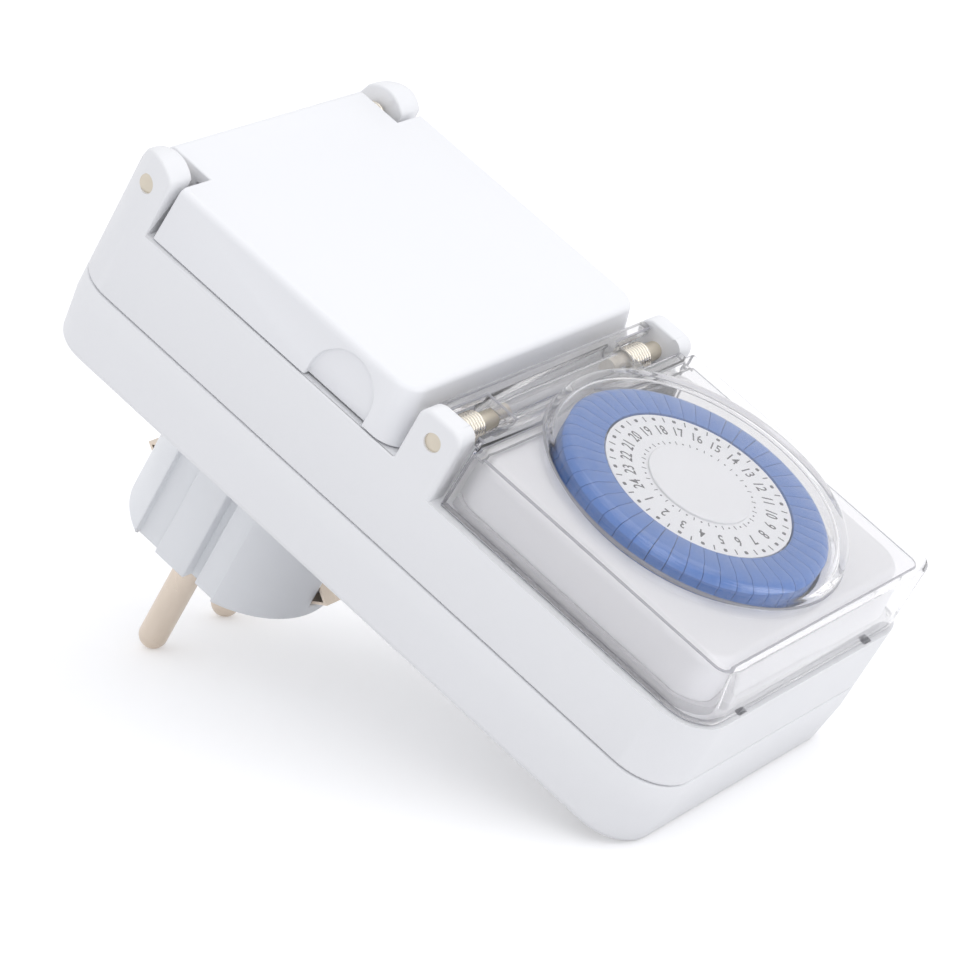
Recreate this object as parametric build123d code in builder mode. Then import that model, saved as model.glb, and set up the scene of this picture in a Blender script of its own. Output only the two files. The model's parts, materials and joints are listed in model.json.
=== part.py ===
from build123d import *

import os
from math import asin, atan2, cos, degrees, hypot, radians, sin, sqrt

# Plug-in mechanical timer switch, in millimetres.
# The case is modelled on its back: x across it, y from the dial end to the socket end and z out of its face.
# The last section leans the finished pieces on the plug pins and the dial-end edge, as the switch rests.

# Case halves
case_length = 122.4
case_width = 64.6
corner_radius = 8.5
wall = 2.2
rim_wall = 3.0
back_fillet = 1.8
draft_height = 8.5
draft_inset = 0.9
rear_depth = 12.65
seam_gap = 0.3
shoulder_fillet = 0.5
dial_deck = 24.5
socket_deck = 26.2
deck_step_y = 61.0

# Tongue and groove that join the halves, with the seal above the tongue
tongue_inset = 0.9
tongue_thickness = 1.0
tongue_height = 2.2
groove_clearance = 0.1
seal_height = 1.0
land_thickness = 1.4
land_height = 4.0

# Screws that close the case, from the back
housing_screw_side = 7.8
housing_screw_inset = 9.0
screw_radius = 1.5
screw_head_radius = 3.0
screw_head_height = 2.0
screw_recess = 5.0
boss_radius = 4.2
thread_depth = 8.5
small_screw_radius = 1.1
small_head_radius = 2.0
small_head_height = 1.2
screw_clearance = 0.2

# Plug and the socket over it
plug_end_distance = 31.8
pin_pitch = 19.0
pin_radius = 2.4
pin_root_radius = 2.6
pin_length = 19.0
pin_head_radius = 3.5
pin_head_height = 2.0
plug_radius = 18.0
plug_depth = 28.3
plug_flat_side = 5.0
plug_flat_length = 16.7
plug_band_side = 6.1
plug_band_width = 6.4
plug_band_offset = 0.8
plug_groove_width = 1.6
plug_groove_depth = 1.2
plug_rim_fillet = 1.2
plug_end_wall = 6.0
pin_seat_depth = 12.0
plug_shell_side = 5.7
plug_seat_height = 1.6
plug_seat_radius = 24.0
plug_flange_radius = 23.5
plug_flange_thickness = 1.8
plug_screw_circle = 20.8
block_half_y = 5.2
block_top = -1.0
fit_clearance = 0.1

# Socket well
well_radius = 20.0
well_wall = 1.4
well_rim = 31.5
well_depth = 17.5
well_floor_thickness = 2.0
insert_flange_radius = 27.5
insert_flange_top = 21.0
insert_flange_thickness = 2.0
insert_screw_circle = 24.7
sleeve_radius = 3.5
sleeve_bore = 2.45
sleeve_slit = 0.8
contact_hole_radius = 2.8
insulator_height = 5.6
strip = 0.8

# Shutter behind the socket's two holes
shutter_thickness = 1.6
shutter_gap = 0.2
shutter_hub_radius = 5.0
shutter_lobe_radius = 3.1
shutter_boss_radius = 2.6
running_clearance = 0.06
shutter_spring_wire = 0.7

# Earth contacts
earth_width = 4.0
earth_leg_y = 16.2
earth_lug_top = -21.0
earth_lug_bottom = -25.5
earth_lug_reach = 20.3
clip_y = 18.4
clip_top = 28.5
clip_bulge = 16.8
clip_foot_length = 7.0

# Hinge ears and pins
hinge_pin_radius = 1.5
pin_end_recess = 0.4
mid_pin_setback = 4.2
mid_pin_z = 32.6
mid_ear_thickness = 4.0
mid_ear_depth = 8.3
mid_ear_top = 36.6
mid_ear_fillet = 2.2
rear_pin_setback = 5.8
rear_pin_z = 32.7
rear_ear_thickness = 5.2
rear_ear_depth = 9.8
rear_ear_radius = 4.9
rear_ear_back_z = 30.2
rear_sill_depth = 9.0
rear_sill_top = 28.0
ear_edge_fillet = 0.8

# Socket lid
lid_gap = 0.3
socket_lid_top = 35.9
socket_lid_side_base = 0.1
socket_lid_side_top = 1.1
socket_lid_step_gap = 0.5
socket_lid_lean = 2.1
socket_lid_end_space = 11.0
socket_lid_wall = 2.0
socket_lid_corner = 4.0
socket_lid_edge_fillet = 1.2
knuckle_side_space = 2.9
knuckle_front = 3.4
knuckle_back = 3.5
knuckle_drop = 3.4
knuckle_corner = 3.2
knuckle_back_fillet = 1.3
recess_step_distance = 12.7
recess_radius = 5.9
recess_crown_z = 28.4
recess_depth = 1.3
socket_seal_lap = 0.7
socket_seal_inner = 20.4

# Dial lid
dial_lid_top = 35.8
dial_lid_base = 24.6
dial_lid_side_base = 1.4
dial_lid_side_top = 2.0
dial_lid_end_base = 0.6
dial_lid_end_top = 1.3
dial_lid_base_corner = 6.5
dial_lid_top_corner = 3.5
dial_lid_wall = 1.6
lid_spring_wire = 0.75
lid_spring_turns = 9
socket_spring_turns = 3
dial_bay_setback = 9.4
dial_lid_step_gap = 0.1
window_width = 10.4
window_front_reach = 3.9
window_back_reach = 2.0
barrel_radius = 3.2
barrel_shy = 0.4
dial_pin_reach = 3.0
dome_radius = 24.7
dome_top = 39.2
dome_fillet = 2.3
dome_wall = 1.5
rear_arc_radius = 22.9
latch_x = 18.5
latch_width = 1.8
latch_drop = 1.0

# Platform and dial
dial_y = 29.9
platform_top = 29.7
platform_side_gap = 0.7
platform_start = 4.0
platform_setback = 9.0
collar_top = 33.4
collar_inner = 22.4
collar_notch_half = 9.0
collar_fillet = 1.4
platform_corner = 5.0
seal_band = 1.0
seal_band_height = 1.5
groove_inner = 18.0
groove_outer = 22.1
groove_floor = 27.2
carrier_bottom = 30.1
carrier_radius = 15.4
carrier_rim_radius = 18.4
carrier_rim_top = 32.2
carrier_top = 36.2
face_radius = 15.3
face_thickness = 0.4
cap_radius = 8.4
cap_thickness = 0.3
cap_gap = 0.05
cap_stem_radius = 1.5
cap_stem_length = 5.0
spindle_radius = 2.5
spindle_head_radius = 3.6
spindle_head_height = 1.4
spindle_boss_radius = 5.0
spindle_boss_bottom = 24.0

# Half-hour tappets round the dial
tappet_count = 48
tappet_inner = 15.6
tappet_outer = 21.8
tappet_leg_inner = 18.7
tappet_top = 36.8
tappet_shelf = 34.8
tappet_bevel = 1.5
tappet_bevel_drop = 0.9
tappet_gap = 0.25
key_width = 1.0
key_depth = 0.9
key_top = 36.0
afternoon_steps = range(30, 34)
night_steps = [*range(41, 48), 0]
step_minutes = 30
first_step_angle = 157.5

# Gear train, all of one module
gear_module = 0.5
addendum = 0.4
dedendum = 0.6
tooth_width = 0.55
tooth_slope = 0.3
ring_teeth = 48
pinion_teeth = 8
wheel_teeth = 40
idler_teeth = 20
motor_teeth = 10
ring_depth = 3.2
pinion_bearing = 225.0
idler_bearing = -20.0
motor_bearing = 60.0
gear_bottom = 19.0
gear_thickness = 2.0
output_hub_radius = 2.55
journal_radius = 1.0
idler_axle_radius = 0.8

# Mechanism plate and motor
plate_bottom = 16.4
plate_thickness = 1.2
plate_left = -24.0
plate_right = 27.5
plate_near = 11.0
plate_far = 41.0
post_places = [(-19.0, 15.0), (-20.0, 38.0), (24.0, 36.0), (20.0, 13.5)]
post_radius = 2.5
motor_x = 8.0
motor_y = 27.0
motor_radius = 13.0
motor_bottom = 3.6
motor_shaft_radius = 0.9
terminal_x = 3.0
terminal_length = 1.5

# Switch
switch_left = -8.0
switch_right = 14.0
switch_near_reach = 2.0
switch_far_reach = 4.5
switch_bottom = 8.5
switch_top = 16.2
plunger_from_pivot = 5.5
plunger_radius = 1.2
plunger_top = 18.75
plunger_bottom = 13.6
plunger_travel = 1.5
lever_reach = 9.6
lever_pivot_z = 19.6
lever_hub_radius = 2.0
lever_hub_half = 4.7
lever_half = 2.5
lever_arm_top = 20.4
lever_finger_radius = 20.5
lever_finger_thickness = 1.6
lever_finger_top = 29.6
lever_slot_half = 3.5
lever_slot_inner = 16.7
lever_pivot_radius = 1.0
lever_post_thickness = 2.2
lever_post_gap = 0.3
blade_z = 9.4
blade_length = 3.0
feed_x = 4.6
return_x = 13.0
lead_radius = 0.7

# Values that follow from the ones above
land_inset = tongue_inset + tongue_thickness + groove_clearance
groove_top = rear_depth + tongue_height + seal_height
half_width = case_width / 2
housing_screw_x = half_width - housing_screw_side
rear_corners = [(x, y) for x in (-housing_screw_x, housing_screw_x) for y in (
    housing_screw_inset, case_length - housing_screw_inset)]
plug_y = case_length - plug_end_distance
plug_flat_x = pin_pitch / 2 + plug_flat_side
plug_band_x = pin_pitch / 2 + plug_band_side
plug_shell_radius = pin_pitch / 2 + plug_shell_side
mid_pin_y = deck_step_y - mid_pin_setback
mid_ear_front = deck_step_y - mid_ear_depth
rear_pin_y = case_length - rear_pin_setback
rear_ear_inner_x = half_width - rear_ear_thickness
rear_ear_front = case_length - rear_ear_depth
rear_sill_front = case_length - rear_sill_depth
socket_lid_half_base = half_width - socket_lid_side_base
socket_lid_half_top = half_width - socket_lid_side_top
socket_lid_free_base = deck_step_y + socket_lid_step_gap
socket_lid_free_top = socket_lid_free_base + socket_lid_lean
socket_lid_back = case_length - socket_lid_end_space
knuckle_half = rear_ear_inner_x - knuckle_side_space
recess_y = deck_step_y + recess_step_distance
recess_plane_x = socket_lid_half_base - recess_depth
dial_lid_half_base = half_width - dial_lid_side_base
dial_lid_half_top = half_width - dial_lid_side_top
dial_lid_wall_end = deck_step_y - dial_bay_setback
dial_lid_rear_edge = deck_step_y - dial_lid_step_gap
dial_lid_half_hinge = half_width - mid_ear_thickness - lid_gap
window_inner_x = dial_lid_half_hinge - window_width
window_front = mid_pin_y - window_front_reach
window_back = mid_pin_y + window_back_reach
barrel_half = window_inner_x - barrel_shy
platform_half = dial_lid_half_top - dial_lid_wall - platform_side_gap
platform_end = deck_step_y - platform_setback
lever_finger_y = dial_y + lever_finger_radius
lever_pivot_y = lever_finger_y + lever_reach
lever_slot_near = dial_y + lever_slot_inner
lever_slot_far = dial_y + groove_outer
plunger_y = lever_pivot_y - plunger_from_pivot
switch_near = plunger_y - switch_near_reach
switch_far = plunger_y + switch_far_reach
pin_places = [(-pin_pitch / 2, plug_y), (pin_pitch / 2, plug_y)]
plug_flange_bottom = wall + plug_seat_height
plug_flange_top = plug_flange_bottom + plug_flange_thickness
pin_head_bottom = -plug_depth + pin_seat_depth
pin_head_top = pin_head_bottom + pin_head_height
well_floor = well_rim - well_depth
well_underside = well_floor - well_floor_thickness
well_outer = well_radius + well_wall
shutter_top = well_underside - shutter_gap
shutter_bottom = shutter_top - shutter_thickness
sleeve_top = shutter_bottom - lid_gap
sleeve_bore_bottom = well_floor - pin_length - 0.6
insulator_bottom = pin_head_top + strip
insulator_top = insulator_bottom + insulator_height
shutter_spring_height = 2 * shutter_spring_wire
shutter_boss_bottom = shutter_bottom - fit_clearance - shutter_spring_height - fit_clearance
bar_bottom = plug_flange_top
clip_foot_bottom = bar_bottom + strip
plate_top = plate_bottom + plate_thickness
deck_underside = dial_deck - wall
platform_underside = platform_top - wall
face_top = carrier_top + face_thickness
cap_bottom = face_top + cap_gap
tappet_pitch = 360 / tappet_count
gear_top = gear_bottom + gear_thickness
ring_top = carrier_bottom + ring_depth


# Planes and outlines that several pieces share

def level(z):
    return Plane.XY.offset(z)


def at(x, y, z):
    return Plane((x, y, z))


def side(x):
    return Plane.YZ.offset(x)


def section_at(y, angle=0.0, x=0.0):
    turn = radians(angle)
    return Plane((x, y, 0), x_dir=(cos(turn), sin(turn), 0), z_dir=(sin(turn), -cos(turn), 0))


def upright(x, y):
    return Axis((x, y, 0), (0, 0, 1))


def case_outline(inset=0.0, mode=Mode.ADD):
    with Locations((0, case_length / 2)):
        RectangleRounded(case_width - 2 * inset, case_length - 2 * inset, corner_radius - inset, mode=mode)


def block(low, high, mode=Mode.ADD):
    size = [b - a for a, b in zip(low, high)]
    with Locations(tuple(a + s / 2 for a, s in zip(low, size))):
        Box(*size, mode=mode)


def bar(places, radius, bottom, top, mode=Mode.ADD):
    with BuildSketch(level(bottom)) as discs:
        with Locations(*places):
            Circle(radius)
    extrude(discs.sketch, amount=top - bottom, mode=mode)


def tube(places, outer, inner, bottom, top):
    with BuildSketch(level(bottom)) as rings:
        with Locations(*places):
            Circle(outer)
            Circle(inner, mode=Mode.SUBTRACT)
    extrude(rings.sketch, amount=top - bottom)


# Case halves

with BuildPart() as rear_housing:
    with BuildSketch(level(0)):
        case_outline(draft_inset)
    with BuildSketch(level(draft_height)):
        case_outline()
    loft()
    fillet(rear_housing.faces().sort_by(Axis.Z)[0].edges(), back_fillet)
    with BuildSketch(level(draft_height)):
        case_outline()
    extrude(amount=rear_depth - draft_height)
    with BuildSketch(level(wall)):
        case_outline(rim_wall)
    extrude(amount=rear_depth, mode=Mode.SUBTRACT)
    with BuildSketch(level(rear_depth)):
        case_outline(tongue_inset)
        case_outline(tongue_inset + tongue_thickness, Mode.SUBTRACT)
    extrude(amount=tongue_height)
    bar([(0, plug_y)], plug_seat_radius, wall, plug_flange_bottom)
    bar([(0, plug_y)], plug_radius + fit_clearance, 0, plug_flange_bottom, Mode.SUBTRACT)
    bar(rear_corners, boss_radius, wall, rear_depth)
    bar(rear_corners, screw_head_radius + screw_clearance, 0, screw_recess, Mode.SUBTRACT)
    bar(rear_corners, screw_radius + screw_clearance, 0, rear_depth, Mode.SUBTRACT)
    with BuildSketch(level(wall)):
        with Locations((motor_x, motor_y)):
            Circle(motor_radius + fit_clearance + wall / 2)
            Circle(motor_radius + fit_clearance, mode=Mode.SUBTRACT)
            Circle(motor_radius - wall)
            Circle(motor_radius - 2 * wall, mode=Mode.SUBTRACT)
    extrude(amount=motor_bottom - wall)
    for rib_x in (switch_left + wall, switch_right - wall):
        block((rib_x - wall / 2, switch_near, wall), (rib_x + wall / 2, switch_far, switch_bottom))
    plug_screw_places = [
        (plug_screw_circle * cos(radians(a)), plug_y + plug_screw_circle * sin(radians(a)))
        for a in (45, 135, 225, 315)]
    bar(plug_screw_places, small_screw_radius, wall / 2, plug_flange_bottom, Mode.SUBTRACT)
rear_housing.part.label = "rear_housing"


def platform_outline(inset=0.0, mode=Mode.ADD):
    with Locations((0, (platform_start + platform_end) / 2)):
        RectangleRounded(
            2 * (platform_half - inset),
            platform_end - platform_start - 2 * inset,
            platform_corner - inset,
            mode=mode)


def gear_centre(centre, distance, bearing):
    turn = radians(bearing)
    return (centre[0] + distance * cos(turn), centre[1] + distance * sin(turn))


dial_centre = (0.0, dial_y)
output_centre = gear_centre(dial_centre, gear_module * (ring_teeth - pinion_teeth) / 2, pinion_bearing)
idler_centre = gear_centre(output_centre, gear_module * (wheel_teeth + idler_teeth) / 2, idler_bearing)
motor_centre = gear_centre(idler_centre, gear_module * (idler_teeth + motor_teeth) / 2, motor_bearing)
insert_screw_places = [
    (insert_screw_circle * cos(radians(a)), plug_y + insert_screw_circle * sin(radians(a)))
    for a in (45, 135, 225, 315)]

with BuildPart() as front_housing:
    with BuildSketch(level(rear_depth + seam_gap)):
        case_outline()
    extrude(amount=dial_deck - rear_depth - seam_gap)
    with BuildSketch(level(dial_deck)):
        case_outline()
        with Locations((0, deck_step_y / 2)):
            Rectangle(case_width, deck_step_y, mode=Mode.SUBTRACT)
    extrude(amount=socket_deck - dial_deck)
    fillet(front_housing.edges().group_by(Axis.Z)[-1].filter_by(lambda e: e.center().Y > deck_step_y + 1),
           shoulder_fillet)
    with BuildSketch(level(rear_depth)):
        case_outline(land_inset)
    extrude(amount=seam_gap)
    # Groove over the tongue, then the hollow inside the land and above it
    with BuildSketch(level(rear_depth)):
        case_outline(tongue_inset - groove_clearance)
        case_outline(land_inset, Mode.SUBTRACT)
    extrude(amount=groove_top - rear_depth, mode=Mode.SUBTRACT)
    with BuildSketch(level(rear_depth)):
        case_outline(land_inset + land_thickness)
    extrude(amount=land_height, mode=Mode.SUBTRACT)
    with BuildSketch(level(rear_depth + land_height)):
        case_outline(wall)
    extrude(amount=deck_underside - rear_depth - land_height, mode=Mode.SUBTRACT)
    with BuildSketch(level(deck_underside)):
        case_outline(wall)
        with Locations((0, (deck_step_y + wall) / 2)):
            Rectangle(case_width, deck_step_y + wall, mode=Mode.SUBTRACT)
    extrude(amount=socket_deck - dial_deck, mode=Mode.SUBTRACT)
    # Platform with its hollow, and the ring groove that pressed tappets reach into
    with BuildSketch(level(dial_deck)):
        platform_outline()
        with Locations(dial_centre):
            Circle(groove_outer + wall)
    extrude(amount=platform_top - dial_deck)
    with BuildSketch(level(deck_underside)):
        platform_outline(wall)
    extrude(amount=platform_underside - deck_underside, mode=Mode.SUBTRACT)
    with BuildSketch(level(groove_floor - wall)):
        with Locations(dial_centre):
            Circle(groove_outer + wall)
            Circle(groove_inner - wall, mode=Mode.SUBTRACT)
    extrude(amount=platform_underside - groove_floor + wall)
    with BuildSketch(level(groove_floor)):
        with Locations(dial_centre):
            Circle(groove_outer)
            Circle(groove_inner, mode=Mode.SUBTRACT)
    extrude(amount=platform_top - groove_floor, mode=Mode.SUBTRACT)
    with BuildSketch(level(platform_top)):
        platform_outline()
        with Locations(dial_centre):
            Circle(collar_inner, mode=Mode.SUBTRACT)
        with Locations((0, platform_end)):
            Rectangle(2 * collar_notch_half, 2 * (platform_end - dial_y), mode=Mode.SUBTRACT)
    extrude(amount=collar_top - platform_top)
    fillet(front_housing.edges().group_by(Axis.Z)[-1].filter_by(lambda e: e.center().Y < platform_end - 1
           and hypot(e.center().X, e.center().Y - dial_y) > collar_inner + 1), collar_fillet)
    # Bosses and posts under the decks
    for x, y in rear_corners:
        boss_top = dial_deck if y < deck_step_y else socket_deck
        bar([(x, y)], boss_radius - fit_clearance, rear_depth, boss_top)
    bar(rear_corners, screw_radius, rear_depth, rear_depth + thread_depth, Mode.SUBTRACT)
    bar(post_places, post_radius, plate_top, platform_underside)
    bar(post_places, small_screw_radius, plate_top, plate_top + thread_depth, Mode.SUBTRACT)
    bar(insert_screw_places, post_radius, insert_flange_top, socket_deck - wall)
    bar(insert_screw_places, small_screw_radius, insert_flange_top, socket_deck - wall, Mode.SUBTRACT)
    bar([dial_centre], spindle_boss_radius, spindle_boss_bottom, platform_underside)
    bar([dial_centre], spindle_radius, spindle_boss_bottom, platform_top, Mode.SUBTRACT)
    bar([output_centre], output_hub_radius + running_clearance, platform_underside, platform_top,
        Mode.SUBTRACT)
    bar([(0, plug_y)], well_outer + fit_clearance, deck_underside, socket_deck, Mode.SUBTRACT)
    # Lever slot and the posts that carry its pivot
    block((-lever_slot_half, lever_slot_near, deck_underside), (lever_slot_half, lever_slot_far, groove_floor),
          Mode.SUBTRACT)
    for way in (-1, 1):
        near_x = way * (lever_hub_half + lever_post_gap)
        far_x = near_x + way * lever_post_thickness
        block((min(near_x, far_x), lever_pivot_y - lever_hub_radius, lever_pivot_z - lever_hub_radius),
              (max(near_x, far_x), lever_pivot_y + lever_hub_radius, deck_underside))
    with BuildSketch(Plane.YZ):
        with Locations((lever_pivot_y, lever_pivot_z)):
            Circle(lever_pivot_radius)
    extrude(amount=lever_hub_half + 2 * lever_post_thickness, both=True, mode=Mode.SUBTRACT)
    # Hinge ears
    for way in (-1, 1):
        with BuildSketch(side(way * (half_width - mid_ear_thickness))) as mid_ear:
            with Locations(((mid_ear_front + deck_step_y) / 2, (deck_underside + mid_ear_top) / 2)):
                Rectangle(deck_step_y - mid_ear_front, mid_ear_top - deck_underside)
            fillet(mid_ear.vertices().group_by(Axis.Y)[-1], mid_ear_fillet)
        extrude(amount=way * mid_ear_thickness)
        rear_ear_rise = sqrt(rear_ear_radius**2 - (rear_pin_y - rear_ear_front)**2)
        back_angle = radians(40)
        with BuildSketch(side(way * rear_ear_inner_x)):
            with BuildLine():
                ear_line = Polyline(
                    (rear_pin_y + rear_ear_radius * cos(back_angle),
                     rear_pin_z + rear_ear_radius * sin(back_angle)),
                    (case_length, rear_ear_back_z),
                    (case_length, socket_deck - wall),
                    (rear_ear_front, socket_deck - wall),
                    (rear_ear_front, rear_pin_z + rear_ear_rise))
                ThreePointArc(ear_line @ 1, (rear_pin_y, rear_pin_z + rear_ear_radius), ear_line @ 0)
            make_face()
        extrude(amount=way * (half_width - rear_ear_inner_x))
    block((-rear_ear_inner_x, rear_sill_front, socket_deck - wall),
          (rear_ear_inner_x, case_length, rear_sill_top))
    with BuildSketch(level(socket_deck - wall)):
        with Locations((0, case_length / 2)):
            Rectangle(2 * case_width, 2 * case_length)
        case_outline(mode=Mode.SUBTRACT)
    extrude(amount=socket_deck, mode=Mode.SUBTRACT)
    fillet(front_housing.edges().filter_by(lambda e: e.center().Z > socket_deck + 2 * shoulder_fillet
           and e.center().Y < deck_step_y - fit_clearance
           and abs(abs(e.center().X) - half_width) < fit_clearance), ear_edge_fillet)
    with BuildSketch(Plane.YZ):
        with Locations((mid_pin_y, mid_pin_z), (rear_pin_y, rear_pin_z)):
            Circle(hinge_pin_radius)
    extrude(amount=half_width, both=True, mode=Mode.SUBTRACT)
    # Pockets that the lid's latch nibs drop into
    for x in (-latch_x, latch_x):
        block((x - latch_width / 2 - lid_gap, dial_lid_end_base - lid_gap, dial_deck - latch_drop - lid_gap),
              (x + latch_width / 2 + lid_gap, dial_lid_end_base + dial_lid_wall + lid_gap, dial_deck),
              Mode.SUBTRACT)
front_housing.part.label = "front_housing"

with BuildPart() as housing_screws:
    bar(rear_corners, screw_head_radius, screw_recess - screw_head_height, screw_recess)
    bar(rear_corners, screw_radius, screw_recess, rear_depth + thread_depth - screw_clearance)
housing_screws.part.label = "housing_screws"

with BuildPart() as housing_seal:
    with BuildSketch(level(rear_depth + tongue_height)):
        case_outline(tongue_inset)
        case_outline(tongue_inset + tongue_thickness, Mode.SUBTRACT)
    extrude(amount=seal_height)
housing_seal.part.label = "housing_seal"


# Plug

def sweep_strip(points, width, x=0.0):
    """Sheet strip whose outline is given in the side plane, centred on x."""
    with BuildSketch(side(x)) as outline:
        with BuildLine():
            Polyline(*points, close=True)
        make_face()
    extrude(outline.sketch, amount=width / 2, both=True)


with BuildPart() as plug_body:
    with BuildSketch(level(-plug_depth)):
        with Locations((0, plug_y)):
            Circle(plug_radius)
            for way in (-1, 1):
                with Locations((way * (plug_flat_x + plug_radius), 0)):
                    Rectangle(2 * plug_radius, plug_flat_length, mode=Mode.SUBTRACT)
            with Locations((0, plug_band_offset)):
                Rectangle(2 * plug_band_x, plug_band_width)
            for way in (-1, 1):
                with Locations((way * plug_flat_x,
                                plug_band_offset - (plug_band_width + plug_groove_width) / 2)):
                    Rectangle(2 * plug_groove_depth, plug_groove_width, mode=Mode.SUBTRACT)
    extrude(amount=plug_depth)
    fillet(plug_body.faces().sort_by(Axis.Z)[0].edges().filter_by(GeomType.CIRCLE), plug_rim_fillet)
    bar([(0, plug_y)], plug_radius, 0, plug_flange_bottom)
    bar([(0, plug_y)], plug_flange_radius, plug_flange_bottom, plug_flange_top)
    hollow_half = (pin_pitch / 2) + sleeve_radius + 2 * fit_clearance
    with BuildSketch(level(-plug_depth + plug_end_wall)):
        with Locations((0, plug_y)):
            Circle(plug_shell_radius)
            Rectangle(2 * hollow_half, 2 * plug_radius, mode=Mode.INTERSECT)
    extrude(amount=plug_depth - plug_end_wall, mode=Mode.SUBTRACT)
    bar([(0, plug_y)], plug_shell_radius, 0, plug_flange_top, Mode.SUBTRACT)
    block((-hollow_half, plug_y - block_half_y, -plug_depth + plug_end_wall),
          (hollow_half, plug_y + block_half_y, block_top))
    bar(pin_places, sleeve_radius + fit_clearance, pin_head_bottom, block_top, Mode.SUBTRACT)
    bar(pin_places, pin_root_radius, -plug_depth, pin_head_bottom, Mode.SUBTRACT)
    # Slots for the earth legs and for the live terminal's strip
    for way in (-1, 1):
        slot_in = plug_y + way * (earth_leg_y - fit_clearance)
        slot_out = plug_y + way * plug_radius
        block((-earth_width / 2 - fit_clearance, min(slot_in, slot_out), earth_lug_bottom - fit_clearance),
              (earth_width / 2 + fit_clearance, max(slot_in, slot_out), plug_flange_top), Mode.SUBTRACT)
    block((feed_x - earth_width / 2, plug_y - block_half_y, pin_head_top),
          (pin_pitch / 2 + earth_width / 2, plug_y, block_top), Mode.SUBTRACT)
    bar(plug_screw_places, small_screw_radius + fit_clearance, plug_flange_bottom, plug_flange_top,
        Mode.SUBTRACT)
plug_body.part.label = "plug_body"

with BuildPart() as plug_screws:
    bar(plug_screw_places, small_screw_radius, wall / 2 + fit_clearance, plug_flange_top)
    bar(plug_screw_places, small_head_radius, plug_flange_top, plug_flange_top + small_head_height)
plug_screws.part.label = "plug_screws"


def plug_pin(x):
    pin_tip = -plug_depth - pin_length
    with BuildSketch(section_at(plug_y, x=x)) as half_section:
        with BuildLine():
            shank = Polyline(
                (pin_radius, pin_tip + pin_radius),
                (pin_radius, -plug_depth),
                (pin_root_radius, -plug_depth),
                (pin_root_radius, pin_head_bottom),
                (pin_head_radius, pin_head_bottom),
                (pin_head_radius, pin_head_top),
                (0, pin_head_top),
                (0, pin_tip))
            RadiusArc(shank @ 1, shank @ 0, -pin_radius)
        make_face()
    revolve(half_section.sketch, axis=upright(x, plug_y))


with BuildPart() as plug_pin_neutral:
    plug_pin(-pin_pitch / 2)
plug_pin_neutral.part.label = "plug_pin_neutral"

with BuildPart() as plug_pin_live:
    plug_pin(pin_pitch / 2)
plug_pin_live.part.label = "plug_pin_live"

with BuildPart() as earth_bracket:
    leg_out = earth_leg_y + strip
    lug_mid = (earth_lug_top + earth_lug_bottom) / 2
    block((-earth_width / 2, plug_y - leg_out, bar_bottom),
          (earth_width / 2, plug_y + leg_out, bar_bottom + strip))
    for way in (-1, 1):
        sweep_strip([
            (plug_y + way * earth_leg_y, bar_bottom),
            (plug_y + way * earth_leg_y, earth_lug_top),
            (plug_y + way * (earth_lug_reach - strip), lug_mid),
            (plug_y + way * earth_leg_y, earth_lug_bottom),
            (plug_y + way * leg_out, earth_lug_bottom),
            (plug_y + way * earth_lug_reach, lug_mid),
            (plug_y + way * leg_out, earth_lug_top),
            (plug_y + way * leg_out, bar_bottom)], earth_width)
earth_bracket.part.label = "earth_bracket"

# Socket

with BuildPart() as socket_insert:
    bar([(0, plug_y)], well_outer, well_underside, well_rim)
    fillet(socket_insert.faces().sort_by(Axis.Z)[-1].edges(), well_wall / 4)
    bar([(0, plug_y)], insert_flange_radius, insert_flange_top - insert_flange_thickness, insert_flange_top)
    bar([(0, plug_y)], well_radius, well_floor, well_rim, Mode.SUBTRACT)
    bar([(0, plug_y)], shutter_boss_radius, shutter_boss_bottom, well_underside)
    bar([(0, plug_y)], small_screw_radius, shutter_boss_bottom, well_floor - strip, Mode.SUBTRACT)
    bar(pin_places, contact_hole_radius, well_underside, well_floor, Mode.SUBTRACT)
    bar(insert_screw_places, small_screw_radius + fit_clearance,
        insert_flange_top - insert_flange_thickness, insert_flange_top, Mode.SUBTRACT)
    for way in (-1, 1):
        slot_in = plug_y + way * (clip_bulge - fit_clearance)
        slot_out = plug_y + way * (clip_y + strip + fit_clearance)
        block((-earth_width / 2 - fit_clearance, min(slot_in, slot_out), well_underside),
              (earth_width / 2 + fit_clearance, max(slot_in, slot_out), well_floor), Mode.SUBTRACT)
socket_insert.part.label = "socket_insert"

with BuildPart() as insert_screws:
    insert_flange_bottom = insert_flange_top - insert_flange_thickness
    bar(insert_screw_places, small_screw_radius, insert_flange_bottom, socket_deck - wall - fit_clearance)
    bar(insert_screw_places, small_head_radius, insert_flange_bottom - small_head_height, insert_flange_bottom)
insert_screws.part.label = "insert_screws"


def sleeve(x, bottom):
    bar([(x, plug_y)], sleeve_radius, bottom, sleeve_top)
    bar([(x, plug_y)], sleeve_bore, sleeve_bore_bottom, sleeve_top, Mode.SUBTRACT)
    block((x - sleeve_slit / 2, plug_y, 0), (x + sleeve_slit / 2, plug_y + sleeve_radius, sleeve_top),
          Mode.SUBTRACT)


with BuildPart() as socket_sleeve_neutral:
    sleeve(-pin_pitch / 2, pin_head_top)
socket_sleeve_neutral.part.label = "socket_sleeve_neutral"

with BuildPart() as socket_sleeve_live:
    sleeve(pin_pitch / 2, insulator_top)
socket_sleeve_live.part.label = "socket_sleeve_live"

with BuildPart() as live_insulator:
    bar([(pin_pitch / 2, plug_y)], sleeve_radius, insulator_bottom, insulator_top)
live_insulator.part.label = "live_insulator"

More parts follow.
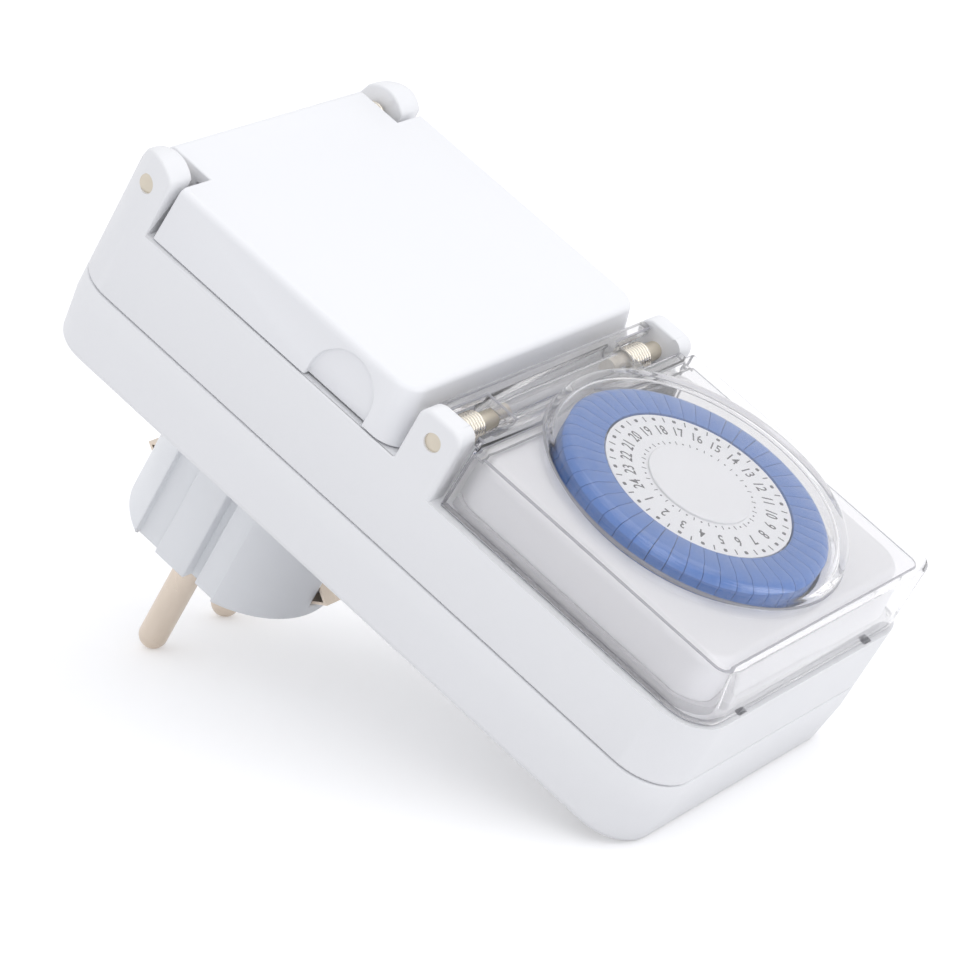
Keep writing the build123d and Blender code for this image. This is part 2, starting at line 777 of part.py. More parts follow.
with BuildPart() as socket_earth_clips:
    for way in (-1, 1):
        clip_in = plug_y + way * clip_y
        clip_out = plug_y + way * (clip_y + strip)
        bend_z = clip_top - 2 * strip
        sweep_strip([
            (plug_y + way * (clip_y - clip_foot_length), clip_foot_bottom),
            (clip_out, clip_foot_bottom),
            (clip_out, bend_z - 4 * strip),
            (plug_y + way * (clip_bulge + strip), bend_z),
            (clip_out, clip_top),
            (clip_in, clip_top),
            (plug_y + way * clip_bulge, bend_z),
            (clip_in, bend_z - 4 * strip),
            (clip_in, clip_foot_bottom + strip),
            (plug_y + way * (clip_y - clip_foot_length), clip_foot_bottom + strip)], earth_width)
socket_earth_clips.part.label = "socket_earth_clips"

with BuildPart() as shutter:
    with BuildSketch(level(shutter_bottom)):
        with Locations((0, plug_y)):
            Circle(shutter_hub_radius)
            with Locations((-pin_pitch / 2, 0), (pin_pitch / 2, 0)):
                Circle(shutter_lobe_radius)
            Rectangle(pin_pitch, shutter_lobe_radius)
            Circle(shutter_boss_radius + running_clearance, mode=Mode.SUBTRACT)
    extrude(amount=shutter_thickness)
shutter.part.label = "shutter"


def coil(centre_plane, inner, wire, turns):
    """Close-wound coil as one ribbed sleeve along the plane's normal, starting at its origin."""
    with BuildSketch(
            Plane(centre_plane.origin, x_dir=centre_plane.x_dir, z_dir=-centre_plane.y_dir)) as half_section:
        with BuildLine():
            Line((inner, 0), (inner, turns * wire))
            Line((inner, turns * wire), (inner + wire / 2, turns * wire))
            for turn in range(turns):
                top = (turns - turn) * wire
                ThreePointArc(
                    (inner + wire / 2, top), (inner + wire, top - wire / 2), (inner + wire / 2, top - wire))
            Line((inner + wire / 2, 0), (inner, 0))
        make_face()
    revolve(half_section.sketch, axis=Axis(centre_plane.origin, centre_plane.z_dir))


with BuildPart() as shutter_spring:
    coil(at(0, plug_y, shutter_boss_bottom + fit_clearance), shutter_boss_radius + fit_clearance,
         shutter_spring_wire, 2)
shutter_spring.part.label = "shutter_spring"

with BuildPart() as shutter_screw:
    bar([(0, plug_y)], shutter_boss_radius + shutter_spring_wire, shutter_boss_bottom - small_head_height,
        shutter_boss_bottom)
    bar([(0, plug_y)], small_screw_radius, shutter_boss_bottom, well_floor - strip - fit_clearance)
shutter_screw.part.label = "shutter_screw"

# Socket lid


def drafted_box(base, top, z_base, z_top, corner_base, corner_top, mode=Mode.ADD):
    """Loft between two rounded rectangles, each given as half width, near y and far y."""
    with BuildSketch(level(z_base)) as foot:
        with Locations((0, (base[1] + base[2]) / 2)):
            RectangleRounded(2 * base[0], base[2] - base[1], corner_base)
    with BuildSketch(level(z_top)) as crown:
        with Locations((0, (top[1] + top[2]) / 2)):
            RectangleRounded(2 * top[0], top[2] - top[1], corner_top)
    loft([foot.sketch, crown.sketch], mode=mode)


with BuildPart() as socket_lid:
    lid_base = socket_deck + lid_gap
    drafted_box((socket_lid_half_base, socket_lid_free_base, case_length),
                (socket_lid_half_top, socket_lid_free_top, case_length),
                lid_base, socket_lid_top, socket_lid_corner, socket_lid_corner)
    fillet(socket_lid.faces().sort_by(Axis.Z)[-1].edges(), socket_lid_edge_fillet)
    block((-half_width, socket_lid_back, 0), (half_width, case_length, 2 * socket_lid_top), Mode.SUBTRACT)
    drafted_box((socket_lid_half_base - socket_lid_wall, socket_lid_free_base + socket_lid_wall, case_length),
                (socket_lid_half_top - socket_lid_wall, socket_lid_free_top + socket_lid_wall, case_length),
                lid_base, socket_lid_top - socket_lid_wall,
                socket_lid_corner - socket_lid_wall, socket_lid_corner - socket_lid_wall, Mode.SUBTRACT)
    with BuildSketch(side(-knuckle_half)) as knuckle:
        knuckle_bottom = rear_pin_z - knuckle_drop
        knuckle_mid_y = rear_pin_y + (knuckle_back - knuckle_front) / 2
        with Locations((knuckle_mid_y, (socket_lid_top + knuckle_bottom) / 2)):
            Rectangle(knuckle_front + knuckle_back, socket_lid_top - knuckle_bottom)
        fillet(knuckle.vertices().group_by(Axis.Y)[0], knuckle_corner)
        fillet(knuckle.vertices().group_by(Axis.Y)[-1].sort_by(Axis.X)[-1], knuckle_back_fillet)
        with Locations(((socket_lid_back + rear_pin_y) / 2 - 0.5, socket_lid_top - socket_lid_wall / 2)):
            Rectangle(rear_pin_y - socket_lid_back + 1, socket_lid_wall)
    extrude(amount=2 * knuckle_half)
    with BuildSketch(side(-knuckle_half)):
        with Locations((rear_pin_y, rear_pin_z)):
            Circle(hinge_pin_radius + running_clearance)
    extrude(amount=2 * knuckle_half, mode=Mode.SUBTRACT)
    # Thumb recess in each side
    for way in (-1, 1):
        with BuildSketch(side(way * recess_plane_x)):
            with Locations((recess_y, recess_crown_z)):
                Circle(recess_radius)
            with Locations((recess_y, (lid_base + recess_crown_z) / 2)):
                Rectangle(2 * recess_radius, recess_crown_z - lid_base)
        extrude(amount=way * recess_radius, mode=Mode.SUBTRACT)
socket_lid.part.label = "socket_lid"

with BuildPart() as socket_lid_pin:
    rear_pin_half = half_width - 2 * pin_end_recess
    with BuildSketch(side(-rear_pin_half)):
        with Locations((rear_pin_y, rear_pin_z)):
            Circle(hinge_pin_radius)
    extrude(amount=2 * rear_pin_half)
socket_lid_pin.part.label = "socket_lid_pin"


def hinge_spring(x_start, y, z, wire, turns, leg_end, way):
    """Torsion coil round a hinge pin, with one leg down to leg_end on the way side of it."""
    inner = hinge_pin_radius + 2 * fit_clearance
    coil(Plane((x_start, y, z), x_dir=(0, 1, 0), z_dir=(1, 0, 0)), inner, wire, turns)
    leg_in = y + way * (inner + wire / 4)
    leg_out = y + way * (inner + wire)
    block((x_start, min(leg_in, leg_out), leg_end), (x_start + wire, max(leg_in, leg_out), z))


with BuildPart() as socket_lid_spring:
    hinge_spring(knuckle_half + lid_gap, rear_pin_y, rear_pin_z, lid_spring_wire, socket_spring_turns,
                 rear_sill_top, 1)
socket_lid_spring.part.label = "socket_lid_spring"

with BuildPart() as socket_lid_seal:
    tube([(0, plug_y)], well_outer + socket_seal_lap, socket_seal_inner,
         well_rim + lid_gap, socket_lid_top - socket_lid_wall)
socket_lid_seal.part.label = "socket_lid_seal"

# Dial lid

with BuildPart() as dial_lid:
    drafted_box((dial_lid_half_base, dial_lid_end_base, deck_step_y + dial_lid_half_base),
                (dial_lid_half_top, dial_lid_end_top, deck_step_y + dial_lid_half_base),
                dial_lid_base, dial_lid_top, dial_lid_base_corner, dial_lid_top_corner)
    fillet(dial_lid.faces().sort_by(Axis.Z)[-1].edges(), dial_lid_wall / 3)
    block((-half_width, dial_lid_wall_end, 0), (half_width, case_length, 2 * dial_lid_top), Mode.SUBTRACT)
    drafted_box(
        (dial_lid_half_base - dial_lid_wall, dial_lid_end_base + dial_lid_wall, case_length),
        (dial_lid_half_top - dial_lid_wall, dial_lid_end_top + dial_lid_wall, case_length),
        dial_lid_base, dial_lid_top - dial_lid_wall,
        dial_lid_base_corner - dial_lid_wall, dial_lid_top_corner - dial_lid_wall, Mode.SUBTRACT)
    # Hinge plate, its barrel and the wall that closes the dial bay over the platform
    with BuildSketch(side(-dial_lid_half_hinge)) as hinge_plate:
        with Locations(((dial_lid_wall_end + dial_lid_rear_edge) / 2 - 0.5, dial_lid_top - dial_lid_wall / 2)):
            Rectangle(dial_lid_rear_edge - dial_lid_wall_end + 1, dial_lid_wall)
        fillet(hinge_plate.vertices().group_by(Axis.Y)[-1].sort_by(Axis.X)[-1], dial_lid_wall / 2)
    extrude(amount=2 * dial_lid_half_hinge)
    with BuildSketch(side(-barrel_half)):
        with Locations((mid_pin_y, mid_pin_z)):
            Circle(barrel_radius)
    extrude(amount=2 * barrel_half)
    wall_foot = collar_top + lid_gap
    block((-dial_lid_half_top + dial_lid_wall / 2, dial_lid_wall_end - dial_lid_wall, wall_foot),
          (dial_lid_half_top - dial_lid_wall / 2, dial_lid_wall_end, dial_lid_top - dial_lid_wall / 2))
    with BuildSketch(level(wall_foot)):
        with Locations(dial_centre):
            Circle(rear_arc_radius + dial_lid_wall)
        with Locations((0, dial_lid_wall_end - dial_lid_wall - dome_radius)):
            Rectangle(2 * dome_radius, 2 * dome_radius, mode=Mode.SUBTRACT)
    extrude(amount=dial_lid_top - dial_lid_wall / 2 - wall_foot)
    bar([dial_centre], rear_arc_radius, wall_foot, dial_lid_top - dial_lid_wall, Mode.SUBTRACT)
    for way in (-1, 1):
        window_x = way * (window_inner_x + dial_lid_half_hinge + 1) / 2
        with BuildSketch(level(dial_lid_top - 2 * dial_lid_wall)):
            with Locations((window_x, (window_front + window_back) / 2)):
                Rectangle(dial_lid_half_hinge + 1 - window_inner_x, window_back - window_front)
        extrude(amount=4 * dial_lid_wall, mode=Mode.SUBTRACT)
    # Dome over the ring
    with BuildSketch(section_at(dial_y)) as dome:
        with BuildLine():
            Polyline((0, dial_lid_top - dial_lid_wall), (dome_radius, dial_lid_top - dial_lid_wall),
                     (dome_radius, dome_top), (0, dome_top), close=True)
        make_face()
        fillet(dome.vertices().group_by(Axis.Y)[-1].sort_by(Axis.X)[-1], dome_fillet)
    revolve(axis=upright(*dial_centre))
    with BuildSketch(section_at(dial_y)) as dome_hollow:
        with BuildLine():
            dome_inner = dome_radius - dome_wall
            Polyline((0, dial_lid_top - 2 * dial_lid_wall), (dome_inner, dial_lid_top - 2 * dial_lid_wall),
                     (dome_inner, dome_top - dome_wall), (0, dome_top - dome_wall), close=True)
        make_face()
        fillet(dome_hollow.vertices().group_by(Axis.Y)[-1].sort_by(Axis.X)[-1], dome_fillet - dome_wall / 2)
    revolve(axis=upright(*dial_centre), mode=Mode.SUBTRACT)
    with BuildSketch(side(-barrel_half)):
        with Locations((mid_pin_y, mid_pin_z)):
            Circle(hinge_pin_radius + running_clearance)
    extrude(amount=2 * barrel_half, mode=Mode.SUBTRACT)
    for x in (-latch_x, latch_x):
        block((x - latch_width / 2, dial_lid_end_base + dial_lid_wall / 2, dial_deck - latch_drop),
              (x + latch_width / 2, dial_lid_end_base + dial_lid_wall, dial_lid_base + dial_lid_wall))
dial_lid.part.label = "dial_lid"

with BuildPart() as dial_lid_pins:
    pin_inner_x = barrel_half - dial_pin_reach
    for way in (-1, 1):
        with BuildSketch(side(way * pin_inner_x)):
            with Locations((mid_pin_y, mid_pin_z)):
                Circle(hinge_pin_radius)
        extrude(amount=way * (half_width - pin_end_recess - pin_inner_x))
dial_lid_pins.part.label = "dial_lid_pins"

with BuildPart() as dial_lid_spring_left:
    hinge_spring(-dial_lid_half_hinge, mid_pin_y, mid_pin_z, lid_spring_wire, lid_spring_turns, dial_deck, -1)
dial_lid_spring_left.part.label = "dial_lid_spring_left"

with BuildPart() as dial_lid_spring_right:
    hinge_spring(barrel_half + 2 * lid_gap, mid_pin_y, mid_pin_z, lid_spring_wire, lid_spring_turns, dial_deck,
                 -1)
dial_lid_spring_right.part.label = "dial_lid_spring_right"

with BuildPart() as dial_seal:
    with BuildSketch(level(dial_deck)):
        platform_outline(-seal_band)
        platform_outline(-fit_clearance / 2, Mode.SUBTRACT)
        with Locations(dial_centre):
            Circle(groove_outer + wall + fit_clearance / 2, mode=Mode.SUBTRACT)
        with Locations((0, platform_end)):
            Rectangle(case_width, 2 * seal_band, mode=Mode.SUBTRACT)
    extrude(amount=seal_band_height)
dial_seal.part.label = "dial_seal"

# Gears


def tooth(teeth, outward):
    pitch_radius = gear_module * teeth / 2
    root = pitch_radius - outward * dedendum
    tip = pitch_radius + outward * addendum
    root_half = (tooth_width + 2 * dedendum * tooth_slope) / 2
    tip_half = (tooth_width - 2 * addendum * tooth_slope) / 2
    return [(root - outward * fit_clearance, -root_half), (tip, -tip_half), (tip, tip_half),
            (root - outward * fit_clearance, root_half)]


def gear(centre, teeth, phase, bottom, thickness):
    """External gear: a root disc with one tapered tooth per step."""
    with BuildSketch(at(*centre, bottom)) as outline:
        Circle(gear_module * teeth / 2 - dedendum)
        with PolarLocations(0, teeth, start_angle=phase):
            Polygon(*tooth(teeth, 1), align=None)
    extrude(outline.sketch, amount=thickness)


def mating_phase(bearing, teeth, phase, next_teeth):
    """Phase of the next external gear, so that its gap meets this gear's tooth."""
    share = (bearing - phase) * teeth / 360
    return bearing + 180 - (0.5 - share) * 360 / next_teeth


wheel_phase = idler_bearing
idler_phase = mating_phase(idler_bearing, wheel_teeth, wheel_phase, idler_teeth)
motor_phase = mating_phase(motor_bearing, idler_teeth, idler_phase, motor_teeth)
pinion_phase = pinion_bearing
ring_phase = pinion_bearing - 0.5 * 360 / ring_teeth

with BuildPart() as dial_carrier:
    bar([dial_centre], carrier_radius, carrier_bottom, carrier_top)
    bar([dial_centre], carrier_rim_radius, carrier_bottom, carrier_rim_top)
    with BuildSketch(at(*dial_centre, carrier_bottom)):
        Circle(gear_module * ring_teeth / 2 + dedendum)
        with PolarLocations(0, ring_teeth, start_angle=ring_phase):
            Polygon(*tooth(ring_teeth, -1), align=None, mode=Mode.SUBTRACT)
    extrude(amount=ring_depth, mode=Mode.SUBTRACT)
    bar([dial_centre], spindle_boss_radius, carrier_bottom - fit_clearance, carrier_top)
    bar([dial_centre], spindle_radius + running_clearance, carrier_bottom - fit_clearance, carrier_top,
        Mode.SUBTRACT)
    # Slots that guide the tappets' keys
    with BuildSketch(at(*dial_centre, carrier_rim_top)):
        with PolarLocations(carrier_radius, tappet_count, start_angle=tappet_pitch / 2):
            Rectangle(2 * key_depth, key_width + 2 * fit_clearance)
    extrude(amount=carrier_top - carrier_rim_top, mode=Mode.SUBTRACT)
dial_carrier.part.label = "dial_carrier"

with BuildPart() as dial_face:
    tube([dial_centre], face_radius, spindle_radius + 2 * fit_clearance, carrier_top, face_top)
dial_face.part.label = "dial_face"

with BuildPart() as centre_cap:
    bar([dial_centre], cap_radius, cap_bottom, cap_bottom + cap_thickness)
    fillet(centre_cap.faces().sort_by(Axis.Z)[-1].edges(), cap_thickness / 2)
    bar([dial_centre], cap_stem_radius, cap_bottom - cap_stem_length, cap_bottom)
centre_cap.part.label = "centre_cap"

with BuildPart() as dial_spindle:
    bar([dial_centre], spindle_radius, spindle_boss_bottom, cap_bottom)
    bar([dial_centre], spindle_head_radius, spindle_boss_bottom - spindle_head_height, spindle_boss_bottom)
    bar([dial_centre], cap_stem_radius, cap_bottom - cap_stem_length, cap_bottom, Mode.SUBTRACT)
dial_spindle.part.label = "dial_spindle"

with BuildPart() as output_gear:
    gear(output_centre, wheel_teeth, wheel_phase, gear_bottom, gear_thickness)
    bar([output_centre], journal_radius, plate_bottom, gear_bottom)
    bar([output_centre], output_hub_radius, plate_top + fit_clearance, platform_top + fit_clearance)
    gear(output_centre, pinion_teeth, pinion_phase, platform_top + fit_clearance,
         ring_top - platform_top - 3 * fit_clearance)
output_gear.part.label = "output_gear"

with BuildPart() as idler_axle:
    bar([idler_centre], idler_axle_radius, plate_bottom, gear_top + 2 * strip)
    bar([idler_centre], 2 * idler_axle_radius, gear_top + strip, gear_top + 2 * strip)
idler_axle.part.label = "idler_axle"

with BuildPart() as idler_gear:
    gear(idler_centre, idler_teeth, idler_phase, gear_bottom, gear_thickness)
    bar([idler_centre], 2 * idler_axle_radius, plate_top + fit_clearance, gear_top + strip - fit_clearance)
    bar([idler_centre], idler_axle_radius + running_clearance, plate_top, gear_top + strip, Mode.SUBTRACT)
idler_gear.part.label = "idler_gear"

with BuildPart() as motor_pinion:
    gear(motor_centre, motor_teeth, motor_phase, gear_bottom, gear_thickness)
    bar([motor_centre], motor_shaft_radius, plate_bottom - 2 * wall, gear_bottom)
motor_pinion.part.label = "motor_pinion"

# Mechanism plate and motor

with BuildPart() as mechanism_plate:
    with BuildSketch(level(plate_bottom)):
        with Locations(((plate_left + plate_right) / 2, (plate_near + plate_far) / 2)):
            Rectangle(plate_right - plate_left, plate_far - plate_near)
        with Locations(*rear_corners):
            Circle(boss_radius + lid_gap, mode=Mode.SUBTRACT)
    extrude(amount=plate_thickness)
    bar(post_places, small_screw_radius + fit_clearance, plate_bottom, plate_top, Mode.SUBTRACT)
    bar([output_centre], journal_radius + running_clearance, plate_bottom, plate_top, Mode.SUBTRACT)
    bar([idler_centre], idler_axle_radius, plate_bottom, plate_top, Mode.SUBTRACT)
    bar([motor_centre], 2 * motor_shaft_radius, plate_bottom, plate_top, Mode.SUBTRACT)
mechanism_plate.part.label = "mechanism_plate"

with BuildPart() as mechanism_screws:
    bar(post_places, small_head_radius, plate_bottom - small_head_height, plate_bottom)
    bar(post_places, small_screw_radius, plate_bottom, plate_top + thread_depth - fit_clearance)
mechanism_screws.part.label = "mechanism_screws"

motor_terminals = [(motor_x - terminal_x, motor_bottom + wall), (motor_x + terminal_x, motor_bottom + wall)]

with BuildPart() as motor:
    bar([(motor_x, motor_y)], motor_radius, motor_bottom, plate_bottom)
    fillet(motor.faces().sort_by(Axis.Z)[0].edges(), wall / 2)
    bar([motor_centre], motor_shaft_radius + running_clearance, plate_bottom - 3 * wall, plate_bottom,
        Mode.SUBTRACT)
    for x, z in motor_terminals:
        block((x - strip, motor_y, z - strip / 2),
              (x + strip, motor_y + motor_radius + terminal_length, z + strip / 2))
motor.part.label = "motor"

# Switch and the lever that the tappets press

with BuildPart() as switch_body:
    block((switch_left, switch_near, switch_bottom), (switch_right, switch_far, switch_top))
    fillet(switch_body.edges().filter_by(Axis.Z), strip / 2)
    bar([(0, plunger_y)], plunger_radius + running_clearance, plunger_bottom - plunger_travel - fit_clearance,
        switch_top, Mode.SUBTRACT)
    for blade_x in (feed_x, return_x):
        block((blade_x - earth_width / 2 + strip, switch_far - strip, blade_z),
              (blade_x + earth_width / 2 - strip, switch_far + blade_length, blade_z + strip))
switch_body.part.label = "switch_body"

with BuildPart() as switch_plunger:
    bar([(0, plunger_y)], plunger_radius, plunger_bottom, plunger_top)
    fillet(switch_plunger.faces().sort_by(Axis.Z)[-1].edges(), plunger_radius * 0.8)
switch_plunger.part.label = "switch_plunger"

with BuildPart() as switch_lever:
    lever_arm_bottom = plunger_top + fit_clearance / 2
    with BuildSketch(Plane.YZ):
        with Locations((lever_pivot_y, lever_pivot_z)):
            Circle(lever_hub_radius)
    extrude(amount=lever_hub_half, both=True)
    with BuildSketch(Plane.YZ):
        with BuildLine():
            finger_near = lever_finger_y - lever_finger_thickness / 2
            finger_far = lever_finger_y + lever_finger_thickness / 2
            finger = Polyline(
                (finger_near, lever_finger_top - lever_finger_thickness / 2),
                (finger_near, lever_arm_bottom),
                (lever_pivot_y, lever_arm_bottom),
                (lever_pivot_y, lever_arm_top),
                (finger_far, lever_arm_top),
                (finger_far, lever_finger_top - lever_finger_thickness / 2))
            ThreePointArc(finger @ 1, (lever_finger_y, lever_finger_top), finger @ 0)
        make_face()
    extrude(amount=lever_half, both=True)
    with BuildSketch(Plane.YZ):
        with Locations((lever_pivot_y, lever_pivot_z)):
            Circle(lever_pivot_radius + running_clearance)
    extrude(amount=lever_hub_half, both=True, mode=Mode.SUBTRACT)
switch_lever.part.label = "switch_lever"

with BuildPart() as lever_pivot:
    with BuildSketch(Plane.YZ):
        with Locations((lever_pivot_y, lever_pivot_z)):
            Circle(lever_pivot_radius)
    extrude(amount=lever_hub_half + lever_post_gap + lever_post_thickness, both=True)
lever_pivot.part.label = "lever_pivot"

# Conductors

riser_y = plug_y - block_half_y - 2 * strip
strip_z = blade_z - strip

with BuildPart() as live_feed:
    bar([(pin_pitch / 2, plug_y)], sleeve_radius, pin_head_top, insulator_bottom)
    block((feed_x - earth_width / 2, riser_y - strip, pin_head_top),
          (pin_pitch / 2, plug_y - sleeve_radius / 2, insulator_bottom))
    block((feed_x - earth_width / 2, riser_y - strip, pin_head_top),
          (feed_x + earth_width / 2, riser_y, blade_z))
    block((feed_x - earth_width / 2, switch_far + strip, strip_z),
          (feed_x + earth_width / 2, riser_y, blade_z))
live_feed.part.label = "live_feed"

with BuildPart() as live_return:
    plate_x = pin_pitch / 2 + sleeve_radius
    block((plate_x, plug_y - earth_width / 2, wall / 2), (plate_x + strip, plug_y + earth_width / 2, blade_z))
    block((return_x - earth_width / 2, switch_far + strip, strip_z),
          (return_x + earth_width / 2, plug_y + earth_width / 2, blade_z))
    bar([(pin_pitch / 2, plug_y)], sleeve_radius, strip_z - strip, blade_z + strip, Mode.SUBTRACT)
live_return.part.label = "live_return"


def lead(points, bend):
    """Insulated wire: straight runs joined by tangent arcs."""
    with BuildLine() as run:
        route = FilletPolyline(*points, radius=bend)
    with BuildSketch(Plane(route @ 0, z_dir=route % 0)) as wire:
        Circle(lead_radius)
    sweep(wire.sketch, path=run.line)


terminal_end = motor_y + motor_radius + terminal_length
low_run_z = wall + 1.5
high_run_z = low_run_z + 3
lead_side_x = -pin_pitch / 2 - 6
lead_exit = 3

with BuildPart() as motor_lead_live:
    x, z = motor_terminals[0]
    lead([(x, terminal_end, z),
          (x, terminal_end + lead_exit, z),
          (x, terminal_end + 2 * lead_exit, low_run_z),
          (x, switch_far + lead_exit, low_run_z),
          (x, switch_far + lead_exit, strip_z)], 2.0)
motor_lead_live.part.label = "motor_lead_live"

with BuildPart() as motor_lead_neutral:
    x, z = motor_terminals[1]
    lead([(x, terminal_end, z),
          (x, terminal_end + lead_exit, z),
          (x - lead_exit, terminal_end + 2 * lead_exit, high_run_z),
          (lead_side_x, terminal_end + 3 * lead_exit, high_run_z),
          (lead_side_x, plug_y - plug_seat_radius, high_run_z + 1),
          (-pin_pitch / 2, plug_y - 3 * sleeve_radius, high_run_z + 1),
          (-pin_pitch / 2, plug_y - sleeve_radius - fit_clearance, high_run_z + 1)], 2.0)
motor_lead_neutral.part.label = "motor_lead_neutral"

# Tappets


def tappet(step):
    """One half-hour segment: a shelf over the rim, an outer leg and a key in the carrier's slot."""
    middle = first_step_angle + (step + 0.5) * tappet_pitch
    arc = tappet_pitch - degrees(tappet_gap / tappet_outer)
    with BuildSketch(section_at(dial_y, middle - arc / 2)) as profile:
        with BuildLine():
            Polyline(
                (tappet_inner, tappet_shelf),
                (tappet_inner, tappet_top),
                (tappet_outer - tappet_bevel, tappet_top),
                (tappet_outer, tappet_top - tappet_bevel_drop),
                (tappet_outer, carrier_bottom),
                (tappet_leg_inner, carrier_bottom),
                (tappet_leg_inner, tappet_shelf),
                close=True)
        make_face()
    revolve(profile.sketch, axis=upright(*dial_centre), revolution_arc=arc)
    key_reach = tappet_inner + key_depth
    outward = (cos(radians(middle)), sin(radians(middle)), 0)
    with BuildSketch(Plane((*dial_centre, tappet_shelf), x_dir=outward)) as key:
        with Locations(((carrier_radius - key_depth + fit_clearance + key_reach) / 2, 0)):
            Rectangle(key_reach - carrier_radius + key_depth - fit_clearance, key_width)
    extrude(key.sketch, amount=key_top - tappet_shelf)


jointed_steps = [*afternoon_steps, *night_steps]

with BuildPart() as tappets:
    for step in range(tappet_count):
        if step not in jointed_steps:
            tappet(step)
tappets.part.label = "tappets"

single_tappets = []
for step in jointed_steps:
    hour, minute = divmod(step * step_minutes, 60)
    with BuildPart() as single_tappet:
        tappet(step)
    single_tappet.part.label = f"tappet_{hour:02d}{minute:02d}"
    single_tappets.append(single_tappet)

# Lean the switch on its pin tips and the dial-end edge, with the origin under the middle of its box

draft_slope = draft_inset / draft_height
edge_y = draft_inset - back_fillet * draft_slope + back_fillet * hypot(1, draft_slope)
rise = plug_depth + pin_length - pin_radius + back_fillet
run = plug_y - edge_y
lean = degrees(atan2(rise, run) + asin((pin_radius - back_fillet) / hypot(run, rise)))

pieces = [
    rear_housing, front_housing, housing_screws, housing_seal, plug_body, plug_screws, plug_pin_live,
    plug_pin_neutral, earth_bracket, socket_insert, insert_screws, socket_sleeve_live, socket_sleeve_neutral,
    live_insulator, socket_earth_clips, shutter, shutter_spring, shutter_screw, socket_lid, socket_lid_pin,
    socket_lid_spring, socket_lid_seal, dial_lid, dial_lid_pins, dial_lid_spring_left, dial_lid_spring_right,
    dial_seal, dial_carrier, dial_face, centre_cap, dial_spindle, output_gear, idler_axle, idler_gear,
    motor_pinion, mechanism_plate, mechanism_screws, motor, switch_body, switch_plunger, switch_lever,
    lever_pivot, live_feed, live_return, motor_lead_live, motor_lead_neutral, tappets, *single_tappets]

tilt = Location((0, 0, 0), (lean, 0, 0))
boxes = [piece.part.moved(tilt).bounding_box() for piece in pieces]
shift = Vector(
    -(min(box.min.X for box in boxes) + max(box.max.X for box in boxes)) / 2,
    -(min(box.min.Y for box in boxes) + max(box.max.Y for box in boxes)) / 2,
    -min(box.min.Z for box in boxes))
resting_place = Location(shift) * tilt

os.makedirs("parts", exist_ok=True)
for piece in pieces:
    export_step(piece.part.moved(resting_place), f"parts/{piece.part.label}.step")
print(f"lean {lean:.4f} degrees, shift {shift.X:.4f} {shift.Y:.4f} {shift.Z:.4f}, {len(pieces)} pieces")
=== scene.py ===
import json
import math
import bmesh
import bpy
from mathutils import Matrix, Vector


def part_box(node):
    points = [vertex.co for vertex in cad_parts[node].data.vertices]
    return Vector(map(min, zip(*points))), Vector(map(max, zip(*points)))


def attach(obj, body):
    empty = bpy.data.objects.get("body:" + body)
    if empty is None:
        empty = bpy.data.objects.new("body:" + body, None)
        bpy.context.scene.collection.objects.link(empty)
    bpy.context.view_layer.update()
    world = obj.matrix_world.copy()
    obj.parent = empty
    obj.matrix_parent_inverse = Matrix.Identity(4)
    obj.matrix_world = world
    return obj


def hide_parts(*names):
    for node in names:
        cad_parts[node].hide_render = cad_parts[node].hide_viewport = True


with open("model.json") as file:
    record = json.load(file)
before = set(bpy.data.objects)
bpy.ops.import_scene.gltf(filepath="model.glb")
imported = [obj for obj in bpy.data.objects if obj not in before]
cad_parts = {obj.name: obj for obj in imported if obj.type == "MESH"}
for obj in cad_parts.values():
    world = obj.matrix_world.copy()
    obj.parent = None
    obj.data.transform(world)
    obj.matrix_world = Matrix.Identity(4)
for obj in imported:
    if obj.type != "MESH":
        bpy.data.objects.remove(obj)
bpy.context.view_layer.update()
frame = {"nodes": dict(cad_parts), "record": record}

# Pieces are drawn in millimetres on the back of the case: x across, y from the dial end, z out of the face.
# caseFrame then leans them the way the switch rests.
rest = {"lean": 28.2772, "shift": (0.0, -46.5127, -0.9788)}
caseFrame = (Matrix.Translation(Vector(rest["shift"]) / 1000)
             @ Matrix.Rotation(math.radians(rest["lean"]), 4, "X") @ Matrix.Scale(0.001, 4))

studio = {
    "cameraPlace": (-0.506121, -0.325266, 0.240941),
    "cameraTurn": (71.2811, -2.6528, -56.4163),
    "lens": 155.571,
    "sensorWidth": 36,
    "clip": (0.05, 30),
    "lampAim": (0, 0, 0.04),
    "floorHalf": 6.0,
    "floorColour": (0.8, 0.8, 0.81),
    "floorGlow": 0.3,
    "worldLight": 0.95,
    "worldColour": (0.975, 0.98, 1.0),
    "backdropColour": (1, 1, 1),
    "bounces": {"max_bounces": 24, "glossy_bounces": 16, "transmission_bounces": 24,
                "transparent_max_bounces": 24},
}
lamps = {
    "key": {"place": (0.35, -0.5, 1.5), "size": (1.1, 1.1), "power": 2.7},
    "end": {"place": (0.5, -1.6, 0.5), "size": (0.9, 0.9), "power": 3.6},
    "side": {"place": (-0.67, -0.79, 0.96), "size": (0.6, 0.6), "power": 1.5},
}


# New object, linked into the scene.
def placed(name, data):
    made = bpy.data.objects.new(name, data)
    bpy.context.scene.collection.objects.link(made)
    return made


def nodeTree(owner):
    owner.use_nodes = True
    owner.node_tree.nodes.clear()
    return owner.node_tree


def makeCamera():
    data = bpy.data.cameras.new("camera")
    data.lens = studio["lens"]
    data.sensor_width = studio["sensorWidth"]
    data.clip_start, data.clip_end = studio["clip"]
    camera = placed("camera", data)
    camera.location = studio["cameraPlace"]
    camera.rotation_euler = [math.radians(a) for a in studio["cameraTurn"]]
    bpy.context.scene.camera = camera


